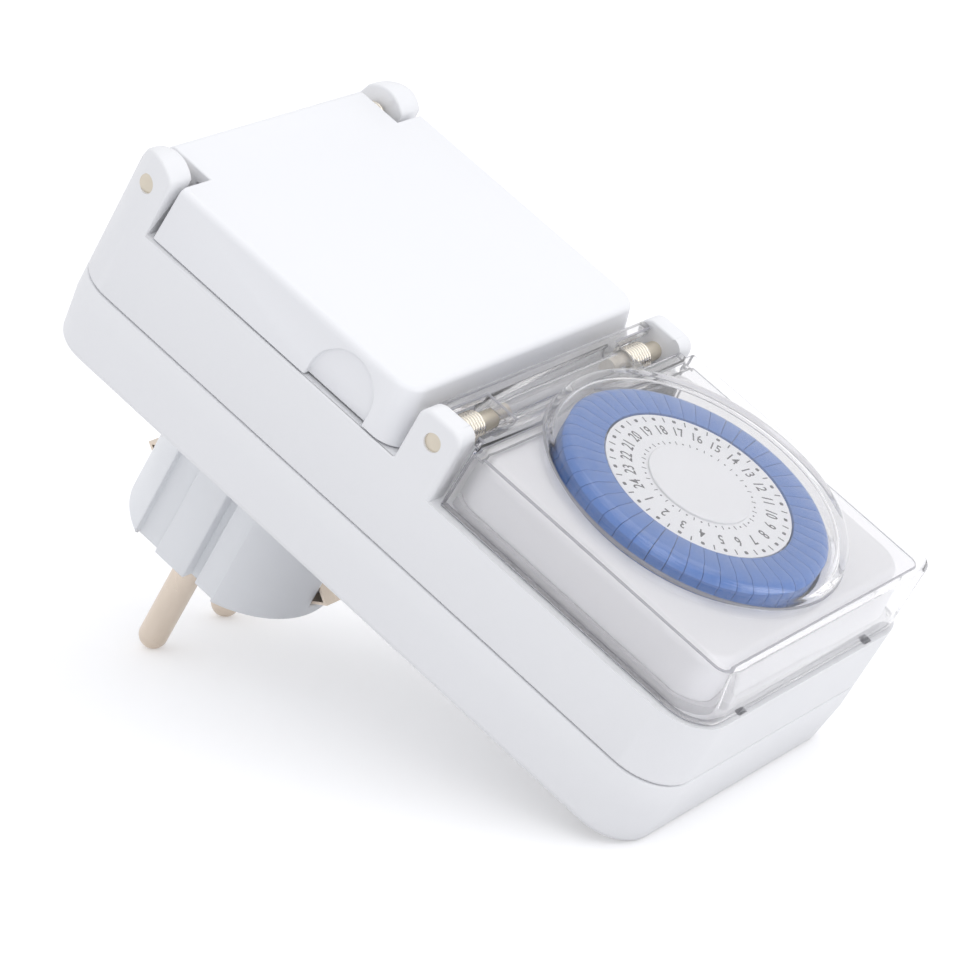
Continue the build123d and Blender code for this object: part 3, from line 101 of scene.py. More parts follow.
# Value that is 1 for rays from the camera and for what shows in gloss and glass.
def seenRays(tree):
    paths = tree.nodes.new("ShaderNodeLightPath")
    total = paths.outputs["Is Camera Ray"]
    for kind in ("Is Glossy Ray", "Is Transmission Ray"):
        add = tree.nodes.new("ShaderNodeMath")
        add.operation = "MAXIMUM"
        tree.links.new(total, add.inputs[0])
        tree.links.new(paths.outputs[kind], add.inputs[1])
        total = add.outputs[0]
    return total


def makeStudio():
    half = studio["floorHalf"]
    mesh = bpy.data.meshes.new("floor")
    corners = [(-half, -half, 0), (half, -half, 0), (half, half, 0), (-half, half, 0)]
    mesh.from_pydata(corners, [], [(0, 1, 2, 3)])
    floor = placed("floor", mesh)
    material = bpy.data.materials.new("floorPaper")
    tree = nodeTree(material)
    matt = tree.nodes.new("ShaderNodeBsdfDiffuse")
    matt.inputs["Color"].default_value = (*studio["floorColour"], 1)
    glow = tree.nodes.new("ShaderNodeEmission")
    lift = tree.nodes.new("ShaderNodeMath")
    lift.operation = "MULTIPLY"
    lift.inputs[1].default_value = studio["floorGlow"]
    both = tree.nodes.new("ShaderNodeAddShader")
    out = tree.nodes.new("ShaderNodeOutputMaterial")
    tree.links.new(seenRays(tree), lift.inputs[0])
    tree.links.new(lift.outputs[0], glow.inputs["Strength"])
    tree.links.new(matt.outputs[0], both.inputs[0])
    tree.links.new(glow.outputs[0], both.inputs[1])
    tree.links.new(both.outputs[0], out.inputs["Surface"])
    mesh.materials.append(material)

    world = bpy.data.worlds.new("studio")
    bpy.context.scene.world = world
    tree = nodeTree(world)
    ambient = tree.nodes.new("ShaderNodeBackground")
    ambient.inputs["Color"].default_value = (*studio["worldColour"], 1)
    ambient.inputs["Strength"].default_value = studio["worldLight"]
    backdrop = tree.nodes.new("ShaderNodeBackground")
    backdrop.inputs["Color"].default_value = (*studio["backdropColour"], 1)
    pick = tree.nodes.new("ShaderNodeMixShader")
    out = tree.nodes.new("ShaderNodeOutputWorld")
    tree.links.new(seenRays(tree), pick.inputs[0])
    tree.links.new(ambient.outputs[0], pick.inputs[1])
    tree.links.new(backdrop.outputs[0], pick.inputs[2])
    tree.links.new(pick.outputs[0], out.inputs["Surface"])

    for name, given in lamps.items():
        data = bpy.data.lights.new(name, "AREA")
        data.shape = "RECTANGLE"
        data.size, data.size_y = given["size"]
        data.energy = given["power"]
        lamp = placed(name, data)
        lamp.location = given["place"]
        lamp.rotation_euler = (Vector(studio["lampAim"]) - lamp.location).to_track_quat("-Z", "Y").to_euler()
    bpy.context.scene.view_settings.view_transform = "Standard"
    for kind, count in studio["bounces"].items():
        setattr(bpy.context.scene.cycles, kind, count)


makeCamera()
makeStudio()
print("camera, floor and light made")


def objectNoise(tree, scale, detail, stretch=(1, 1, 1)):
    coords = tree.nodes.new("ShaderNodeTexCoord")
    mapping = tree.nodes.new("ShaderNodeMapping")
    mapping.inputs["Scale"].default_value = stretch
    noise = tree.nodes.new("ShaderNodeTexNoise")
    noise.inputs["Scale"].default_value = scale
    noise.inputs["Detail"].default_value = detail
    tree.links.new(coords.outputs["Object"], mapping.inputs["Vector"])
    tree.links.new(mapping.outputs["Vector"], noise.inputs["Vector"])
    return noise.outputs["Fac"]


# The source's middle half spread from low to high.
def span(tree, source, low, high):
    reach = tree.nodes.new("ShaderNodeMapRange")
    for name, value in (("From Min", 0.25), ("From Max", 0.75), ("To Min", low), ("To Max", high)):
        reach.inputs[name].default_value = value
    tree.links.new(source, reach.inputs["Value"])
    return reach.outputs["Result"]


# What the opaque finishes share. Patches of gloss are finer than the drift of colour by patchTimes.
grains = {
    "driftDetail": 3,
    "patchTimes": 6,
    "patchDetail": 3,
    "patchDepth": 0.04,
    "grainDetail": 4,
    "grainStrength": 0.6,
    "grainDepth": 0.000015,
}


# Principled finish with a slow drift of colour, a patchy gloss and a fine grain.
def surface(name, colour, roughness, drift=0.02, broad=30, grain=1400, stretch=(1, 1, 1), **sockets):
    material = bpy.data.materials.new(name)
    tree = nodeTree(material)
    shader = tree.nodes.new("ShaderNodeBsdfPrincipled")
    out = tree.nodes.new("ShaderNodeOutputMaterial")
    tree.links.new(shader.outputs[0], out.inputs["Surface"])
    tint = tree.nodes.new("ShaderNodeMix")
    tint.data_type = "RGBA"
    tint.inputs["A"].default_value = (*[c * (1 - drift) for c in colour], 1)
    tint.inputs["B"].default_value = (*[min(1, c * (1 + drift)) for c in colour], 1)
    tree.links.new(objectNoise(tree, broad, grains["driftDetail"], stretch), tint.inputs["Factor"])
    tree.links.new(tint.outputs["Result"], shader.inputs["Base Color"])
    patches = objectNoise(tree, broad * grains["patchTimes"], grains["patchDetail"], stretch)
    gloss = span(tree, patches, roughness - grains["patchDepth"], roughness + grains["patchDepth"])
    tree.links.new(gloss, shader.inputs["Roughness"])
    bump = tree.nodes.new("ShaderNodeBump")
    bump.inputs["Strength"].default_value = grains["grainStrength"]
    bump.inputs["Distance"].default_value = grains["grainDepth"]
    tree.links.new(objectNoise(tree, grain, grains["grainDetail"], stretch), bump.inputs["Height"])
    tree.links.new(bump.outputs["Normal"], shader.inputs["Normal"])
    for key, value in sockets.items():
        shader.inputs[key.replace("_", " ")].default_value = value
    return material


cover = {
    "colour": (0.93, 0.925, 0.935),
    "clear": 1.0,
    # Painted shade: the clear lid turns this dark grey, and less clear, on its edges, foot and hinge bar.
    "paintedShadeColour": (0.36, 0.36, 0.39),
    "paintedShadeClear": 0.3,
    "bend": 1.12,
    "coat": 1.0,
    "roughness": 0.05,
    "roughShare": (0.5, 1.5),
    "roughNoise": (90, 2),
    "waveNoise": (60, 1),
    "waveStrength": 0.15,
    "waveDepth": 0.00005,
    "shadowColour": (0.93, 0.93, 0.935),
}


# Clear plastic that lets lamps through to what it covers. Where it carries painted shade it is greyer and
# less clear, standing in for the shade along its edges, its foot and its hinge bar.
def clearPlastic(name):
    material = bpy.data.materials.new(name)
    tree = nodeTree(material)
    shader = tree.nodes.new("ShaderNodeBsdfPrincipled")
    paintedShade = tree.nodes.new("ShaderNodeAttribute")
    paintedShade.attribute_name = "paintedShade"
    tint = tree.nodes.new("ShaderNodeMix")
    tint.data_type = "RGBA"
    tint.inputs["A"].default_value = (*cover["colour"], 1)
    tint.inputs["B"].default_value = (*cover["paintedShadeColour"], 1)
    tree.links.new(paintedShade.outputs["Fac"], tint.inputs["Factor"])
    tree.links.new(tint.outputs["Result"], shader.inputs["Base Color"])
    dim = tree.nodes.new("ShaderNodeMapRange")
    dim.inputs["To Min"].default_value = cover["clear"]
    dim.inputs["To Max"].default_value = cover["paintedShadeClear"]
    tree.links.new(paintedShade.outputs["Fac"], dim.inputs["Value"])
    tree.links.new(dim.outputs["Result"], shader.inputs["Transmission Weight"])
    shader.inputs["IOR"].default_value = cover["bend"]
    shader.inputs["Coat Weight"].default_value = cover["coat"]
    shader.inputs["Coat Roughness"].default_value = cover["roughness"]
    low, high = [cover["roughness"] * share for share in cover["roughShare"]]
    gloss = span(tree, objectNoise(tree, *cover["roughNoise"]), low, high)
    tree.links.new(gloss, shader.inputs["Roughness"])
    bump = tree.nodes.new("ShaderNodeBump")
    bump.inputs["Strength"].default_value = cover["waveStrength"]
    bump.inputs["Distance"].default_value = cover["waveDepth"]
    tree.links.new(objectNoise(tree, *cover["waveNoise"]), bump.inputs["Height"])
    tree.links.new(bump.outputs["Normal"], shader.inputs["Normal"])
    through = tree.nodes.new("ShaderNodeBsdfTransparent")
    through.inputs["Color"].default_value = (*cover["shadowColour"], 1)
    paths = tree.nodes.new("ShaderNodeLightPath")
    pick = tree.nodes.new("ShaderNodeMixShader")
    out = tree.nodes.new("ShaderNodeOutputMaterial")
    tree.links.new(paths.outputs["Is Shadow Ray"], pick.inputs[0])
    tree.links.new(shader.outputs[0], pick.inputs[1])
    tree.links.new(through.outputs[0], pick.inputs[2])
    tree.links.new(pick.outputs[0], out.inputs["Surface"])
    return material


finishes = {
    "housing_white": surface("housingWhite", (0.815, 0.82, 0.84), 0.42, drift=0.01),
    "lid_white": surface("lidWhite", (0.83, 0.836, 0.86), 0.4, drift=0.008),
    "plug_white": surface("plugWhite", (0.81, 0.825, 0.85), 0.38, drift=0.015, grain=900),
    "clear_cover": clearPlastic("clearCover"),
    "tappet_blue": surface("tappetBlue", (0.035, 0.15, 0.48), 0.34, drift=0.04, broad=60, Coat_Weight=0.4),
    "dial_white": surface("dialWhite", (0.84, 0.85, 0.87), 0.45, drift=0.01),
    "insert_white": surface("insertWhite", (0.8, 0.8, 0.81), 0.4, drift=0.02),
    "pin_nickel": surface("pinNickel", (0.68, 0.59, 0.5), 0.3, drift=0.08, broad=140, grain=2600,
                          stretch=(1, 1, 0.12), Metallic=1.0),
    "sleeve_brass": surface("sleeveBrass", (0.72, 0.52, 0.24), 0.32, drift=0.1, broad=120, Metallic=1.0),
    "hinge_pin_steel": surface("hingePinSteel", (0.66, 0.6, 0.5), 0.38, drift=0.06, broad=400, grain=3000,
                               Metallic=0.6),
    "spring_steel": surface("springSteel", (0.78, 0.73, 0.65), 0.26, drift=0.08, broad=300, Metallic=1.0),
    "screw_steel": surface("screwSteel", (0.6, 0.6, 0.61), 0.34, drift=0.08, broad=260, Metallic=1.0),
    "seal_rubber": surface("sealRubber", (0.62, 0.62, 0.64), 0.6, drift=0.05),
    "gear_plastic": surface("gearPlastic", (0.76, 0.74, 0.68), 0.45, drift=0.03),
    "plate_steel": surface("plateSteel", (0.56, 0.57, 0.58), 0.36, drift=0.08, broad=70, grain=2400,
                           stretch=(0.1, 1, 1), Metallic=1.0),
    "switch_dark": surface("switchDark", (0.03, 0.03, 0.035), 0.4, drift=0.15),
    "lead_sleeve": surface("leadSleeve", (0.05, 0.08, 0.3), 0.4, drift=0.08),
    "print_grey": surface("printGrey", (0.1, 0.1, 0.11), 0.5, drift=0.2, broad=900),
}

slotOf = {}
for part in frame["record"]["subparts"]:
    slotOf[part["node"]] = part["material_slot"]
bodyOf = {}
for bodyName, members in frame["record"]["behaviour"]["bodies"].items():
    for member in members:
        bodyOf[member] = bodyName

for nodeName, node in frame["nodes"].items():
    node.data.materials.clear()
    node.data.materials.append(finishes[slotOf[nodeName]])
print("materials made")


weld = {"metres": 1e-6, "millimetres": 1e-5}  # points closer than this are joined


def smoothShade(mesh, sharpAngle=35):
    for face in mesh.polygons:
        face.use_smooth = True
    mesh.set_sharp_from_angle(angle=math.radians(sharpAngle))


# A finished piece that stands for a node, or is printed on one in a finish of its own.
def addPiece(name, mesh, node, printed=None):
    mesh.name = name
    mesh.materials.clear()
    mesh.materials.append(finishes[printed or slotOf[node]])
    piece = placed(name, mesh)
    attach(piece, bodyOf[node])
    if not printed:
        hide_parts(node)


def fromBmesh(shape):
    mesh = bpy.data.meshes.new("drawn")
    bmesh.ops.recalc_face_normals(shape, faces=shape.faces)
    shape.to_mesh(mesh)
    shape.free()
    return mesh


# The draft object as a plain mesh; the draft is removed.
def evaluated(draft):
    graph = bpy.context.evaluated_depsgraph_get()
    mesh = bpy.data.meshes.new_from_object(draft.evaluated_get(graph))
    draft.modifiers.clear()
    bpy.data.objects.remove(draft)
    return mesh


def inBox(point, box):
    return all(low < value < high for low, value, high in zip(box["low"], point, box["high"]))


# The node's shape with its triangles joined and its sharp edges rounded, except round the hinge pins and in
# plainEdges. The rounded faces come out with material index 1 of two, which becomes their painted shade.
def softCopy(node, width):
    shape = bmesh.new()
    shape.from_mesh(frame["nodes"][node].data)
    bmesh.ops.remove_doubles(shape, verts=shape.verts, dist=weld["metres"])
    bmesh.ops.dissolve_degenerate(shape, edges=shape.edges, dist=weld["metres"])
    bmesh.ops.dissolve_limit(shape, angle_limit=math.radians(easing["flatAngle"]), verts=shape.verts,
                             edges=shape.edges)
    weight = shape.edges.layers.float.new("bevel_weight_edge")
    toCase = caseFrame.inverted()
    for edge in shape.edges:
        middle = toCase @ ((edge.verts[0].co + edge.verts[1].co) / 2)
        nearPin = any(math.hypot(middle.y - y, middle.z - z) < hinges["clear"] for y, z in hinges["pins"])
        kept = nearPin or any(inBox(middle, box) for box in plainEdges.get(node, ()))
        sharp = len(edge.link_faces) == 2 and edge.calc_face_angle(0) > math.radians(easing["sharpAngle"])
        if sharp and not kept:
            edge[weight] = 1.0
    mesh = bpy.data.meshes.new(node)
    mesh.materials.append(None)
    mesh.materials.append(None)
    shape.to_mesh(mesh)
    shape.free()
    draft = placed("draft", mesh)
    bevel = draft.modifiers.new("edges", "BEVEL")
    bevel.width = width / 1000
    bevel.segments = easing["steps"]
    bevel.limit_method = "WEIGHT"
    bevel.use_clamp_overlap = False
    bevel.material = 1
    soft = evaluated(draft)
    # Painted shade as a share from 0 to 1: full on the rounded faces, and the box's amount in the boxes.
    paintedShade = soft.attributes.new("paintedShade", "FLOAT", "FACE")
    for face in soft.polygons:
        middle = toCase @ face.center
        amounts = [box["amount"] for box in paintedShadeBoxes.get(node, ()) if inBox(middle, box)]
        paintedShade.data[face.index].value = max(amounts + [face.material_index])
        face.material_index = 0
    return soft


# Closed solid turned round z from (radius, z) points.
def lathe(profile, steps):
    shape = bmesh.new()
    ring = [shape.verts.new((r, 0, z)) for r, z in profile]
    edges = [shape.edges.new(pair) for pair in zip(ring, ring[1:] + ring[:1])]
    bmesh.ops.spin(shape, geom=ring + edges, axis=(0, 0, 1), cent=(0, 0, 0), steps=steps,
                   angle=2 * math.pi, use_merge=True)
    bmesh.ops.remove_doubles(shape, verts=shape.verts, dist=weld["millimetres"])
    return shape


def startTree(name, inputs):
    tree = bpy.data.node_groups.new(name, "GeometryNodeTree")
    tree.interface.new_socket(name="Geometry", in_out="INPUT", socket_type="NodeSocketGeometry")
    for label, kind in inputs:
        tree.interface.new_socket(name=label, in_out="INPUT", socket_type=kind)
    tree.interface.new_socket(name="Geometry", in_out="OUTPUT", socket_type="NodeSocketGeometry")
    return tree, tree.nodes.new("NodeGroupInput"), tree.nodes.new("NodeGroupOutput")


def endTree(tree, geometry, given, out):
    real = tree.nodes.new("GeometryNodeRealizeInstances")
    paint = tree.nodes.new("GeometryNodeSetMaterial")
    tree.links.new(geometry, real.inputs["Geometry"])
    tree.links.new(real.outputs["Geometry"], paint.inputs["Geometry"])
    tree.links.new(given.outputs["Finish"], paint.inputs["Material"])
    tree.links.new(paint.outputs["Geometry"], out.inputs["Geometry"])


# Sets one item on each point, turned about z by the point's own angle.
def itemOnPoints():
    tree, given, out = startTree("itemOnPoints", (
        ("Item", "NodeSocketObject"), ("Size", "NodeSocketFloat"), ("Finish", "NodeSocketMaterial")))
    item = tree.nodes.new("GeometryNodeObjectInfo")
    spin = tree.nodes.new("GeometryNodeInputNamedAttribute")
    spin.data_type = "FLOAT"
    spin.inputs["Name"].default_value = "turn"
    angles = tree.nodes.new("ShaderNodeCombineXYZ")
    place = tree.nodes.new("GeometryNodeInstanceOnPoints")
    tree.links.new(given.outputs["Item"], item.inputs["Object"])
    tree.links.new(spin.outputs["Attribute"], angles.inputs["Z"])
    tree.links.new(given.outputs["Geometry"], place.inputs["Points"])
    tree.links.new(item.outputs["Geometry"], place.inputs["Instance"])
    tree.links.new(angles.outputs["Vector"], place.inputs["Rotation"])
    tree.links.new(given.outputs["Size"], place.inputs["Scale"])
    endTree(tree, place.outputs["Instances"], given, out)
    return tree


coil = {"turnSteps": 28, "sides": 10, "sharpAngle": 60}


# A coil along z, from the origin, as round wire.
def coilWire():
    tree, given, out = startTree("coilWire", (
        ("Radius", "NodeSocketFloat"), ("Wire", "NodeSocketFloat"), ("Turns", "NodeSocketFloat"),
        ("Length", "NodeSocketFloat"), ("Finish", "NodeSocketMaterial")))
    spiral = tree.nodes.new("GeometryNodeCurveSpiral")
    spiral.inputs["Resolution"].default_value = coil["turnSteps"]
    section = tree.nodes.new("GeometryNodeCurvePrimitiveCircle")
    section.inputs["Resolution"].default_value = coil["sides"]
    tube = tree.nodes.new("GeometryNodeCurveToMesh")
    tube.inputs["Fill Caps"].default_value = True
    for source, target in (("Radius", "Start Radius"), ("Radius", "End Radius"), ("Turns", "Rotations"),
                           ("Length", "Height")):
        tree.links.new(given.outputs[source], spiral.inputs[target])
    tree.links.new(given.outputs["Wire"], section.inputs["Radius"])
    tree.links.new(spiral.outputs["Curve"], tube.inputs["Curve"])
    tree.links.new(section.outputs["Curve"], tube.inputs["Profile Curve"])
    endTree(tree, tube.outputs["Mesh"], given, out)
    return tree


trees = {"itemOnPoints": itemOnPoints(), "coilWire": coilWire()}


# The tree's result on a base mesh, as a plain mesh.
def runTree(treeName, base, finish, **values):
    draft = placed("draft", base)
    modifier = draft.modifiers.new("nodes", "NODES")
    modifier.node_group = trees[treeName]
    values["Finish"] = finish
    for socket in trees[treeName].interface.items_tree:
        if socket.item_type == "SOCKET" and socket.in_out == "INPUT" and socket.name in values:
            modifier[socket.identifier] = values[socket.name]
    return evaluated(draft)


# One mesh with the item at each (x, y, z, degrees).
def repeated(itemMesh, places, finish):
    item = placed("item", itemMesh)
    points = bpy.data.meshes.new("points")
    points.from_pydata([place[:3] for place in places], [], [])
    turn = points.attributes.new("turn", "FLOAT", "POINT")
    for index, place in enumerate(places):
        turn.data[index].value = math.radians(place[3])
    mesh = runTree("itemOnPoints", points, finish, Item=item, Size=1.0)
    bpy.data.objects.remove(item)
    return mesh


print("geometry node trees made")

easing = {"steps": 2, "sharpAngle": 40, "flatAngle": 0.4}
hinges = {"pins": ((56.8, 32.6), (116.6, 32.7)), "clear": 1.9}  # y and z of the pins, and room round them
# The case's edges at and under the clear lid, and where the ears meet the sills, keep their own shape.
plainEdges = {
    "front_housing": ({"low": (-33.0, -1.0, 24.2), "high": (33.0, 48.0, 40.0)},
                      {"low": (-31.3, 1.2, 24.2), "high": (31.3, 55.5, 40.0)},
                      {"low": (-33.0, 52.2, 24.2), "high": (33.0, 53.8, 24.9)},
                      {"low": (-33.0, 112.2, 25.5), "high": (33.0, 112.8, 26.6)}),
}
# Where the clear lid carries painted shade besides its eased edges: its foot and its hinge bar.
paintedShadeBoxes = {
    "dial_lid": ({"low": (-40, -10, 24.0), "high": (40, 60, 24.8), "amount": 0.45},
                 {"low": (-40, 53.2, 29.0), "high": (40, 62, 40), "amount": 0.2}),
}
eased = {
    "front_housing": 0.35,
    "rear_housing": 0.35,
    "socket_lid": 0.25,
    "plug_body": 0.3,
    "dial_lid": 0.28,
    "dial_lid_pins": 0.22,
    "socket_lid_pin": 0.22,
}
for nodeName, edge in eased.items():
    soft = softCopy(nodeName, edge)
    smoothShade(soft)
    addPiece(nodeName + "_eased", soft, nodeName)
print("housing, lids and plug eased")

dial = {
    "centre": (0.0, 29.9),
    "faceTop": 36.6,
    "printLift": 0.012,
    "hourAngle": 157.5,
    "hours": 24,
    "markRadius": 14.3,
    "dotSize": 0.62,
    "lineSize": (1.05, 0.2),
    "innerRadius": 9.15,
    "innerDot": 0.3,
    "innerLine": (0.75, 0.13),
    "markCorner": 0.3,
    "numberRadius": 11.85,
    "numberSize": 2.75,
    "numberNarrow": 0.72,
    "numberWeight": 0.025,
    "numberSpacing": 1.05,
    "numberSteps": 4,
}


def onDial(radius, angle, z):
    turn = math.radians(angle)
    x, y = dial["centre"]
    return (x + radius * math.cos(turn), y + radius * math.sin(turn), z, angle)


# Thin printed mark, long side outwards, with eased corners.
def printedBar(length, width):
    shape = bmesh.new()
    cut = min(length, width) * dial["markCorner"]
    outline = []
    for x, y, start in ((1, 1, 0), (-1, 1, 90), (-1, -1, 180), (1, -1, 270)):
        middleX, middleY = x * (length / 2 - cut), y * (width / 2 - cut)
        for step in (0, 45, 90):
            turn = math.radians(start + step)
            outline.append((middleX + cut * math.cos(turn), middleY + cut * math.sin(turn)))
    lift = dial["printLift"]
    low = [shape.verts.new((x, y, -lift)) for x, y in outline]
    high = [shape.verts.new((x, y, lift)) for x, y in outline]
    shape.faces.new(high)
    shape.faces.new(low[::-1])
    for i in range(len(outline)):
        j = (i + 1) % len(outline)
        shape.faces.new((low[i], low[j], high[j], high[i]))
    return fromBmesh(shape)


def printMarks(name, bar, radius, firstStep):
    step = 360 / dial["hours"]
    places = [onDial(radius, dial["hourAngle"] + firstStep + step * n, dial["faceTop"] + dial["printLift"])
              for n in range(dial["hours"])]
    mesh = repeated(bar, places, finishes["print_grey"])
    mesh.transform(caseFrame)
    addPiece(name, mesh, "dial_face", printed="print_grey")


halfStep = 180 / dial["hours"]
printMarks("hour_dots", printedBar(dial["dotSize"], dial["dotSize"]), dial["markRadius"], 0)
printMarks("half_hour_lines", printedBar(*dial["lineSize"]), dial["markRadius"], halfStep)
printMarks("inner_dots", printedBar(dial["innerDot"], dial["innerDot"]), dial["innerRadius"], 0)
printMarks("inner_lines", printedBar(*dial["innerLine"]), dial["innerRadius"], halfStep)


# Plain hour numbers, their tops outwards.
def printNumbers():
    joined = bmesh.new()
    for hour in range(1, dial["hours"] + 1):
        text = bpy.data.curves.new("number", "FONT")
        text.body = str(hour)
        text.size = dial["numberSize"]
        text.align_x = "CENTER"
        text.align_y = "CENTER"
        text.extrude = dial["printLift"]
        text.offset = dial["numberWeight"]
        text.space_character = dial["numberSpacing"]
        text.resolution_u = dial["numberSteps"]
        mesh = evaluated(placed("number", text))
        x, y, z, angle = onDial(dial["numberRadius"], dial["hourAngle"] + 360 / dial["hours"] * hour,
                                dial["faceTop"] + dial["printLift"])
        mesh.transform(Matrix.Translation((x, y, z)) @ Matrix.Rotation(math.radians(angle - 90), 4, "Z")
                       @ Matrix.Diagonal((dial["numberNarrow"], 1, 1, 1)))
        joined.from_mesh(mesh)
    bmesh.ops.remove_doubles(joined, verts=joined.verts, dist=weld["millimetres"])
    mesh = fromBmesh(joined)
    mesh.transform(caseFrame)
    addPiece("hour_numbers", mesh, "dial_face", printed="print_grey")


printNumbers()
print("dial printed")

tappetSizes = {
    "count": 48,
    "inner": 15.6,
    "outer": 21.8,
    "legInner": 18.7,
    "top": 36.8,
    "shelf": 34.8,
    "foot": 30.1,
    "bevel": 1.5,
    "bevelDrop": 0.9,
    "bevelBend": (0.35, 0.45),
    "gap": 0.09,
    "edge": 0.05,
    "edgeSteps": 2,
    "edgeAngle": 40,
    "arcSteps": 3,
    "sharpAngle": 30,
}


# One half-hour segment about the dial's axis, its middle on +x.
def tappetBar():
    size = tappetSizes
    bend, drop = size["bevelBend"]
    profile = [(size["inner"], size["shelf"]), (size["inner"], size["top"]),
               (size["outer"] - size["bevel"], size["top"]),
               (size["outer"] - size["bevel"] * bend, size["top"] - size["bevelDrop"] * drop),
               (size["outer"], size["top"] - size["bevelDrop"]), (size["outer"], size["foot"]),
               (size["legInner"], size["foot"]), (size["legInner"], size["shelf"])]
    half = (math.radians(360 / size["count"]) - size["gap"] / size["outer"]) / 2
    shape = bmesh.new()
    rings = []
    for step in range(size["arcSteps"] + 1):
        angle = -half + 2 * half * step / size["arcSteps"]
        rings.append([shape.verts.new((r * math.cos(angle), r * math.sin(angle), z)) for r, z in profile])
    for near, far in zip(rings, rings[1:]):
        for i in range(len(profile)):
            j = (i + 1) % len(profile)
            shape.faces.new((near[i], near[j], far[j], far[i]))
    shape.faces.new(rings[0])
    shape.faces.new(rings[-1][::-1])
    draft = placed("draft", fromBmesh(shape))
    bevel = draft.modifiers.new("edges", "BEVEL")
    bevel.width = size["edge"]
    bevel.segments = size["edgeSteps"]
    bevel.limit_method = "ANGLE"
    bevel.angle_limit = math.radians(size["edgeAngle"])
    return evaluated(draft)


# The segments at the given places round the dial, as one piece.
def tappetPiece(name, indexes, node):
    step = 360 / tappetSizes["count"]
    places = [onDial(0, (index + 0.5) * step, 0) for index in indexes]
    mesh = repeated(tappetBar(), places, finishes["tappet_blue"])
    mesh.transform(caseFrame)
    smoothShade(mesh, tappetSizes["sharpAngle"])
    addPiece(name, mesh, node)


# Segments that slide are nodes of their own, found by where they are; the others are one ring.
def makeTappets():
    sliding = {}
    for nodeName in frame["nodes"]:
        if nodeName.startswith("tappet_"):
            low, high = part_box(nodeName)
            middle = caseFrame.inverted() @ ((Vector(low) + Vector(high)) / 2)
            x, y = dial["centre"]
            angle = math.degrees(math.atan2(middle.y - y, middle.x - x)) % 360
            sliding[int(angle * tappetSizes["count"] // 360)] = nodeName
    fixed = [index for index in range(tappetSizes["count"]) if index not in sliding]
    tappetPiece("tappet_ring", fixed, "tappets")
    for index, nodeName in sorted(sliding.items()):
        tappetPiece(nodeName + "_bar", [index], nodeName)


makeTappets()
print("tappets made")

lidWire = {"axis": "X", "radius": 2.06, "wire": 0.34}
dialLidCoil = {"turns": 9, "length": 6.75, "legFoot": 24.9, "way": -1, **lidWire}
springs = {
    "dial_lid_spring_left": {"start": (-28.0, 56.8, 32.6), **dialLidCoil},
    "dial_lid_spring_right": {"start": (17.8, 56.8, 32.6), **dialLidCoil},
    "socket_lid_spring": {"start": (24.5, 116.6, 32.7), "turns": 3, "length": 2.25, "legFoot": 28.4,
                          "way": 1, **lidWire},
    "shutter_spring": {"start": (0, 90.6, 8.8), "axis": "Z", "radius": 3.03, "wire": 0.32, "turns": 2,
                       "length": 1.3, "legFoot": None},
}


# A coil from its start, with a straight leg down to its foot where it has one.
def springPiece(nodeName, size):
    base = bpy.data.meshes.new("base")
    wire = size["wire"]
    mesh = runTree("coilWire", base, finishes["spring_steel"], Radius=size["radius"], Wire=wire,
                   Turns=float(size["turns"]), Length=size["length"] - 2 * wire)
    mesh.transform(Matrix.Translation((0, 0, wire)))
    if size["axis"] == "X":
        mesh.transform(Matrix.Rotation(math.radians(90), 4, "Y"))
    mesh.transform(Matrix.Translation(size["start"]))
    shape = bmesh.new()
    shape.from_mesh(mesh)
    if size["legFoot"] is not None:
        x, y, z = size["start"]
        leg = bmesh.ops.create_cone(shape, cap_ends=True, segments=coil["sides"], radius1=wire, radius2=wire,
                                    depth=z - size["legFoot"])
        bmesh.ops.translate(shape, verts=leg["verts"],
                            vec=(x + wire, y + size["way"] * size["radius"], (z + size["legFoot"]) / 2))
    mesh = fromBmesh(shape)
    mesh.transform(caseFrame)
    smoothShade(mesh, coil["sharpAngle"])
    addPiece(nodeName + "_wire", mesh, nodeName)


for nodeName, size in springs.items():
    springPiece(nodeName, size)
print("springs made")

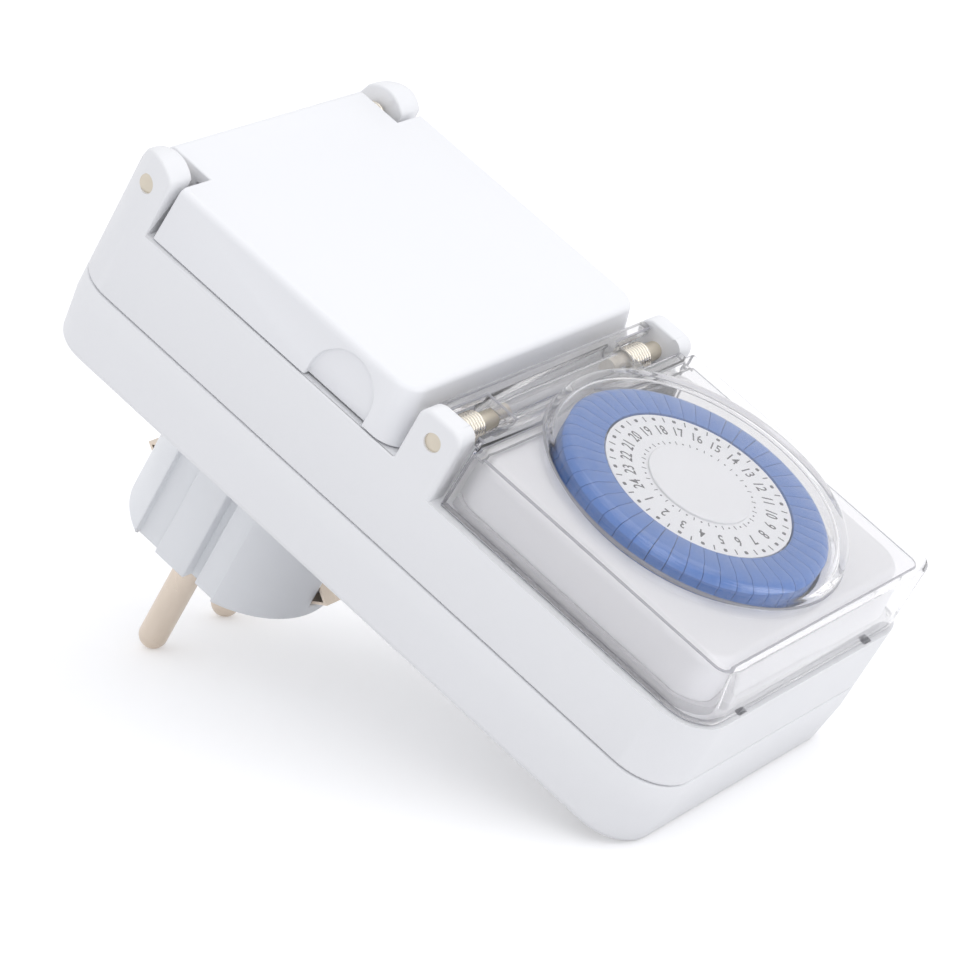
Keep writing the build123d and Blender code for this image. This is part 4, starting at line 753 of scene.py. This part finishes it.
screw = {
    "x": 24.5,
    "y": (9.0, 113.4),
    "turn": (17, 5),  # degrees for each millimetre of x and of y, so that no two crosses line up
    "headLow": 3.0,
    "headHigh": 5.0,
    "headRadius": 3.0,
    "headDome": ((0, 0.02), (0.72, 0.08), (0.94, 0.5), (1, 0.95)),  # share of the radius, rise
    "shankRadius": 1.5,
    "shankTop": 21.3,
    "neck": 0.6,
    "tip": 1.2,
    "tipShare": 0.3,
    "pitch": 1.2,
    "rootShare": 0.8,
    "threadRise": (0.3, 0.55, 0.65),
    "cross": 2.2,
    "crossWidth": 0.75,
    "crossDepth": 1.1,
    "sides": 32,
    "sharpAngle": 30,
}


# Two crossed bars that cut the screw's head.
def crossTool():
    shape = bmesh.new()
    barSize = (2 * screw["cross"], screw["crossWidth"], 2 * screw["crossDepth"])
    for turn in (0, 90):
        spin = Matrix.Rotation(math.radians(turn), 3, "Z")
        bar = bmesh.ops.create_cube(shape, size=1)["verts"]
        bmesh.ops.scale(shape, verts=bar, vec=barSize)
        bmesh.ops.rotate(shape, verts=bar, cent=(0, 0, 0), matrix=spin)
        bmesh.ops.translate(shape, verts=bar, vec=(0, 0, screw["headLow"]))
    return placed("screwTool", fromBmesh(shape))


# Round-headed cross screw along z, its head towards -z.
def screwMesh():
    shank, pitch = screw["shankRadius"], screw["pitch"]
    root = shank * screw["rootShare"]
    foot, mid, crest = screw["threadRise"]
    profile = [(screw["headRadius"] * share, screw["headLow"] + rise) for share, rise in screw["headDome"]]
    profile += [(screw["headRadius"], screw["headHigh"]), (shank, screw["headHigh"])]
    z = screw["headHigh"] + screw["neck"]
    while z + pitch < screw["shankTop"] - screw["tip"]:
        profile += [(root, z), (root, z + pitch * foot)]
        profile += [(shank, z + pitch * mid), (shank, z + pitch * crest)]
        z += pitch
    profile += [(root, z), (shank * screw["tipShare"], screw["shankTop"]), (0, screw["shankTop"])]
    body = placed("screwBody", fromBmesh(lathe(profile, screw["sides"])))
    tool = crossTool()
    cut = body.modifiers.new("cross", "BOOLEAN")
    cut.operation = "DIFFERENCE"
    cut.object = tool
    cut.solver = "EXACT"
    cut.use_self = True
    mesh = evaluated(body)
    bpy.data.objects.remove(tool)
    return mesh


def makeScrews():
    turnX, turnY = screw["turn"]
    places = [(x, y, 0, turnX * x + turnY * y) for x in (-screw["x"], screw["x"]) for y in screw["y"]]
    mesh = repeated(screwMesh(), places, finishes["screw_steel"])
    mesh.transform(caseFrame)
    smoothShade(mesh, screw["sharpAngle"])
    addPiece("housing_screws_cross", mesh, "housing_screws")


makeScrews()
print("screws made")
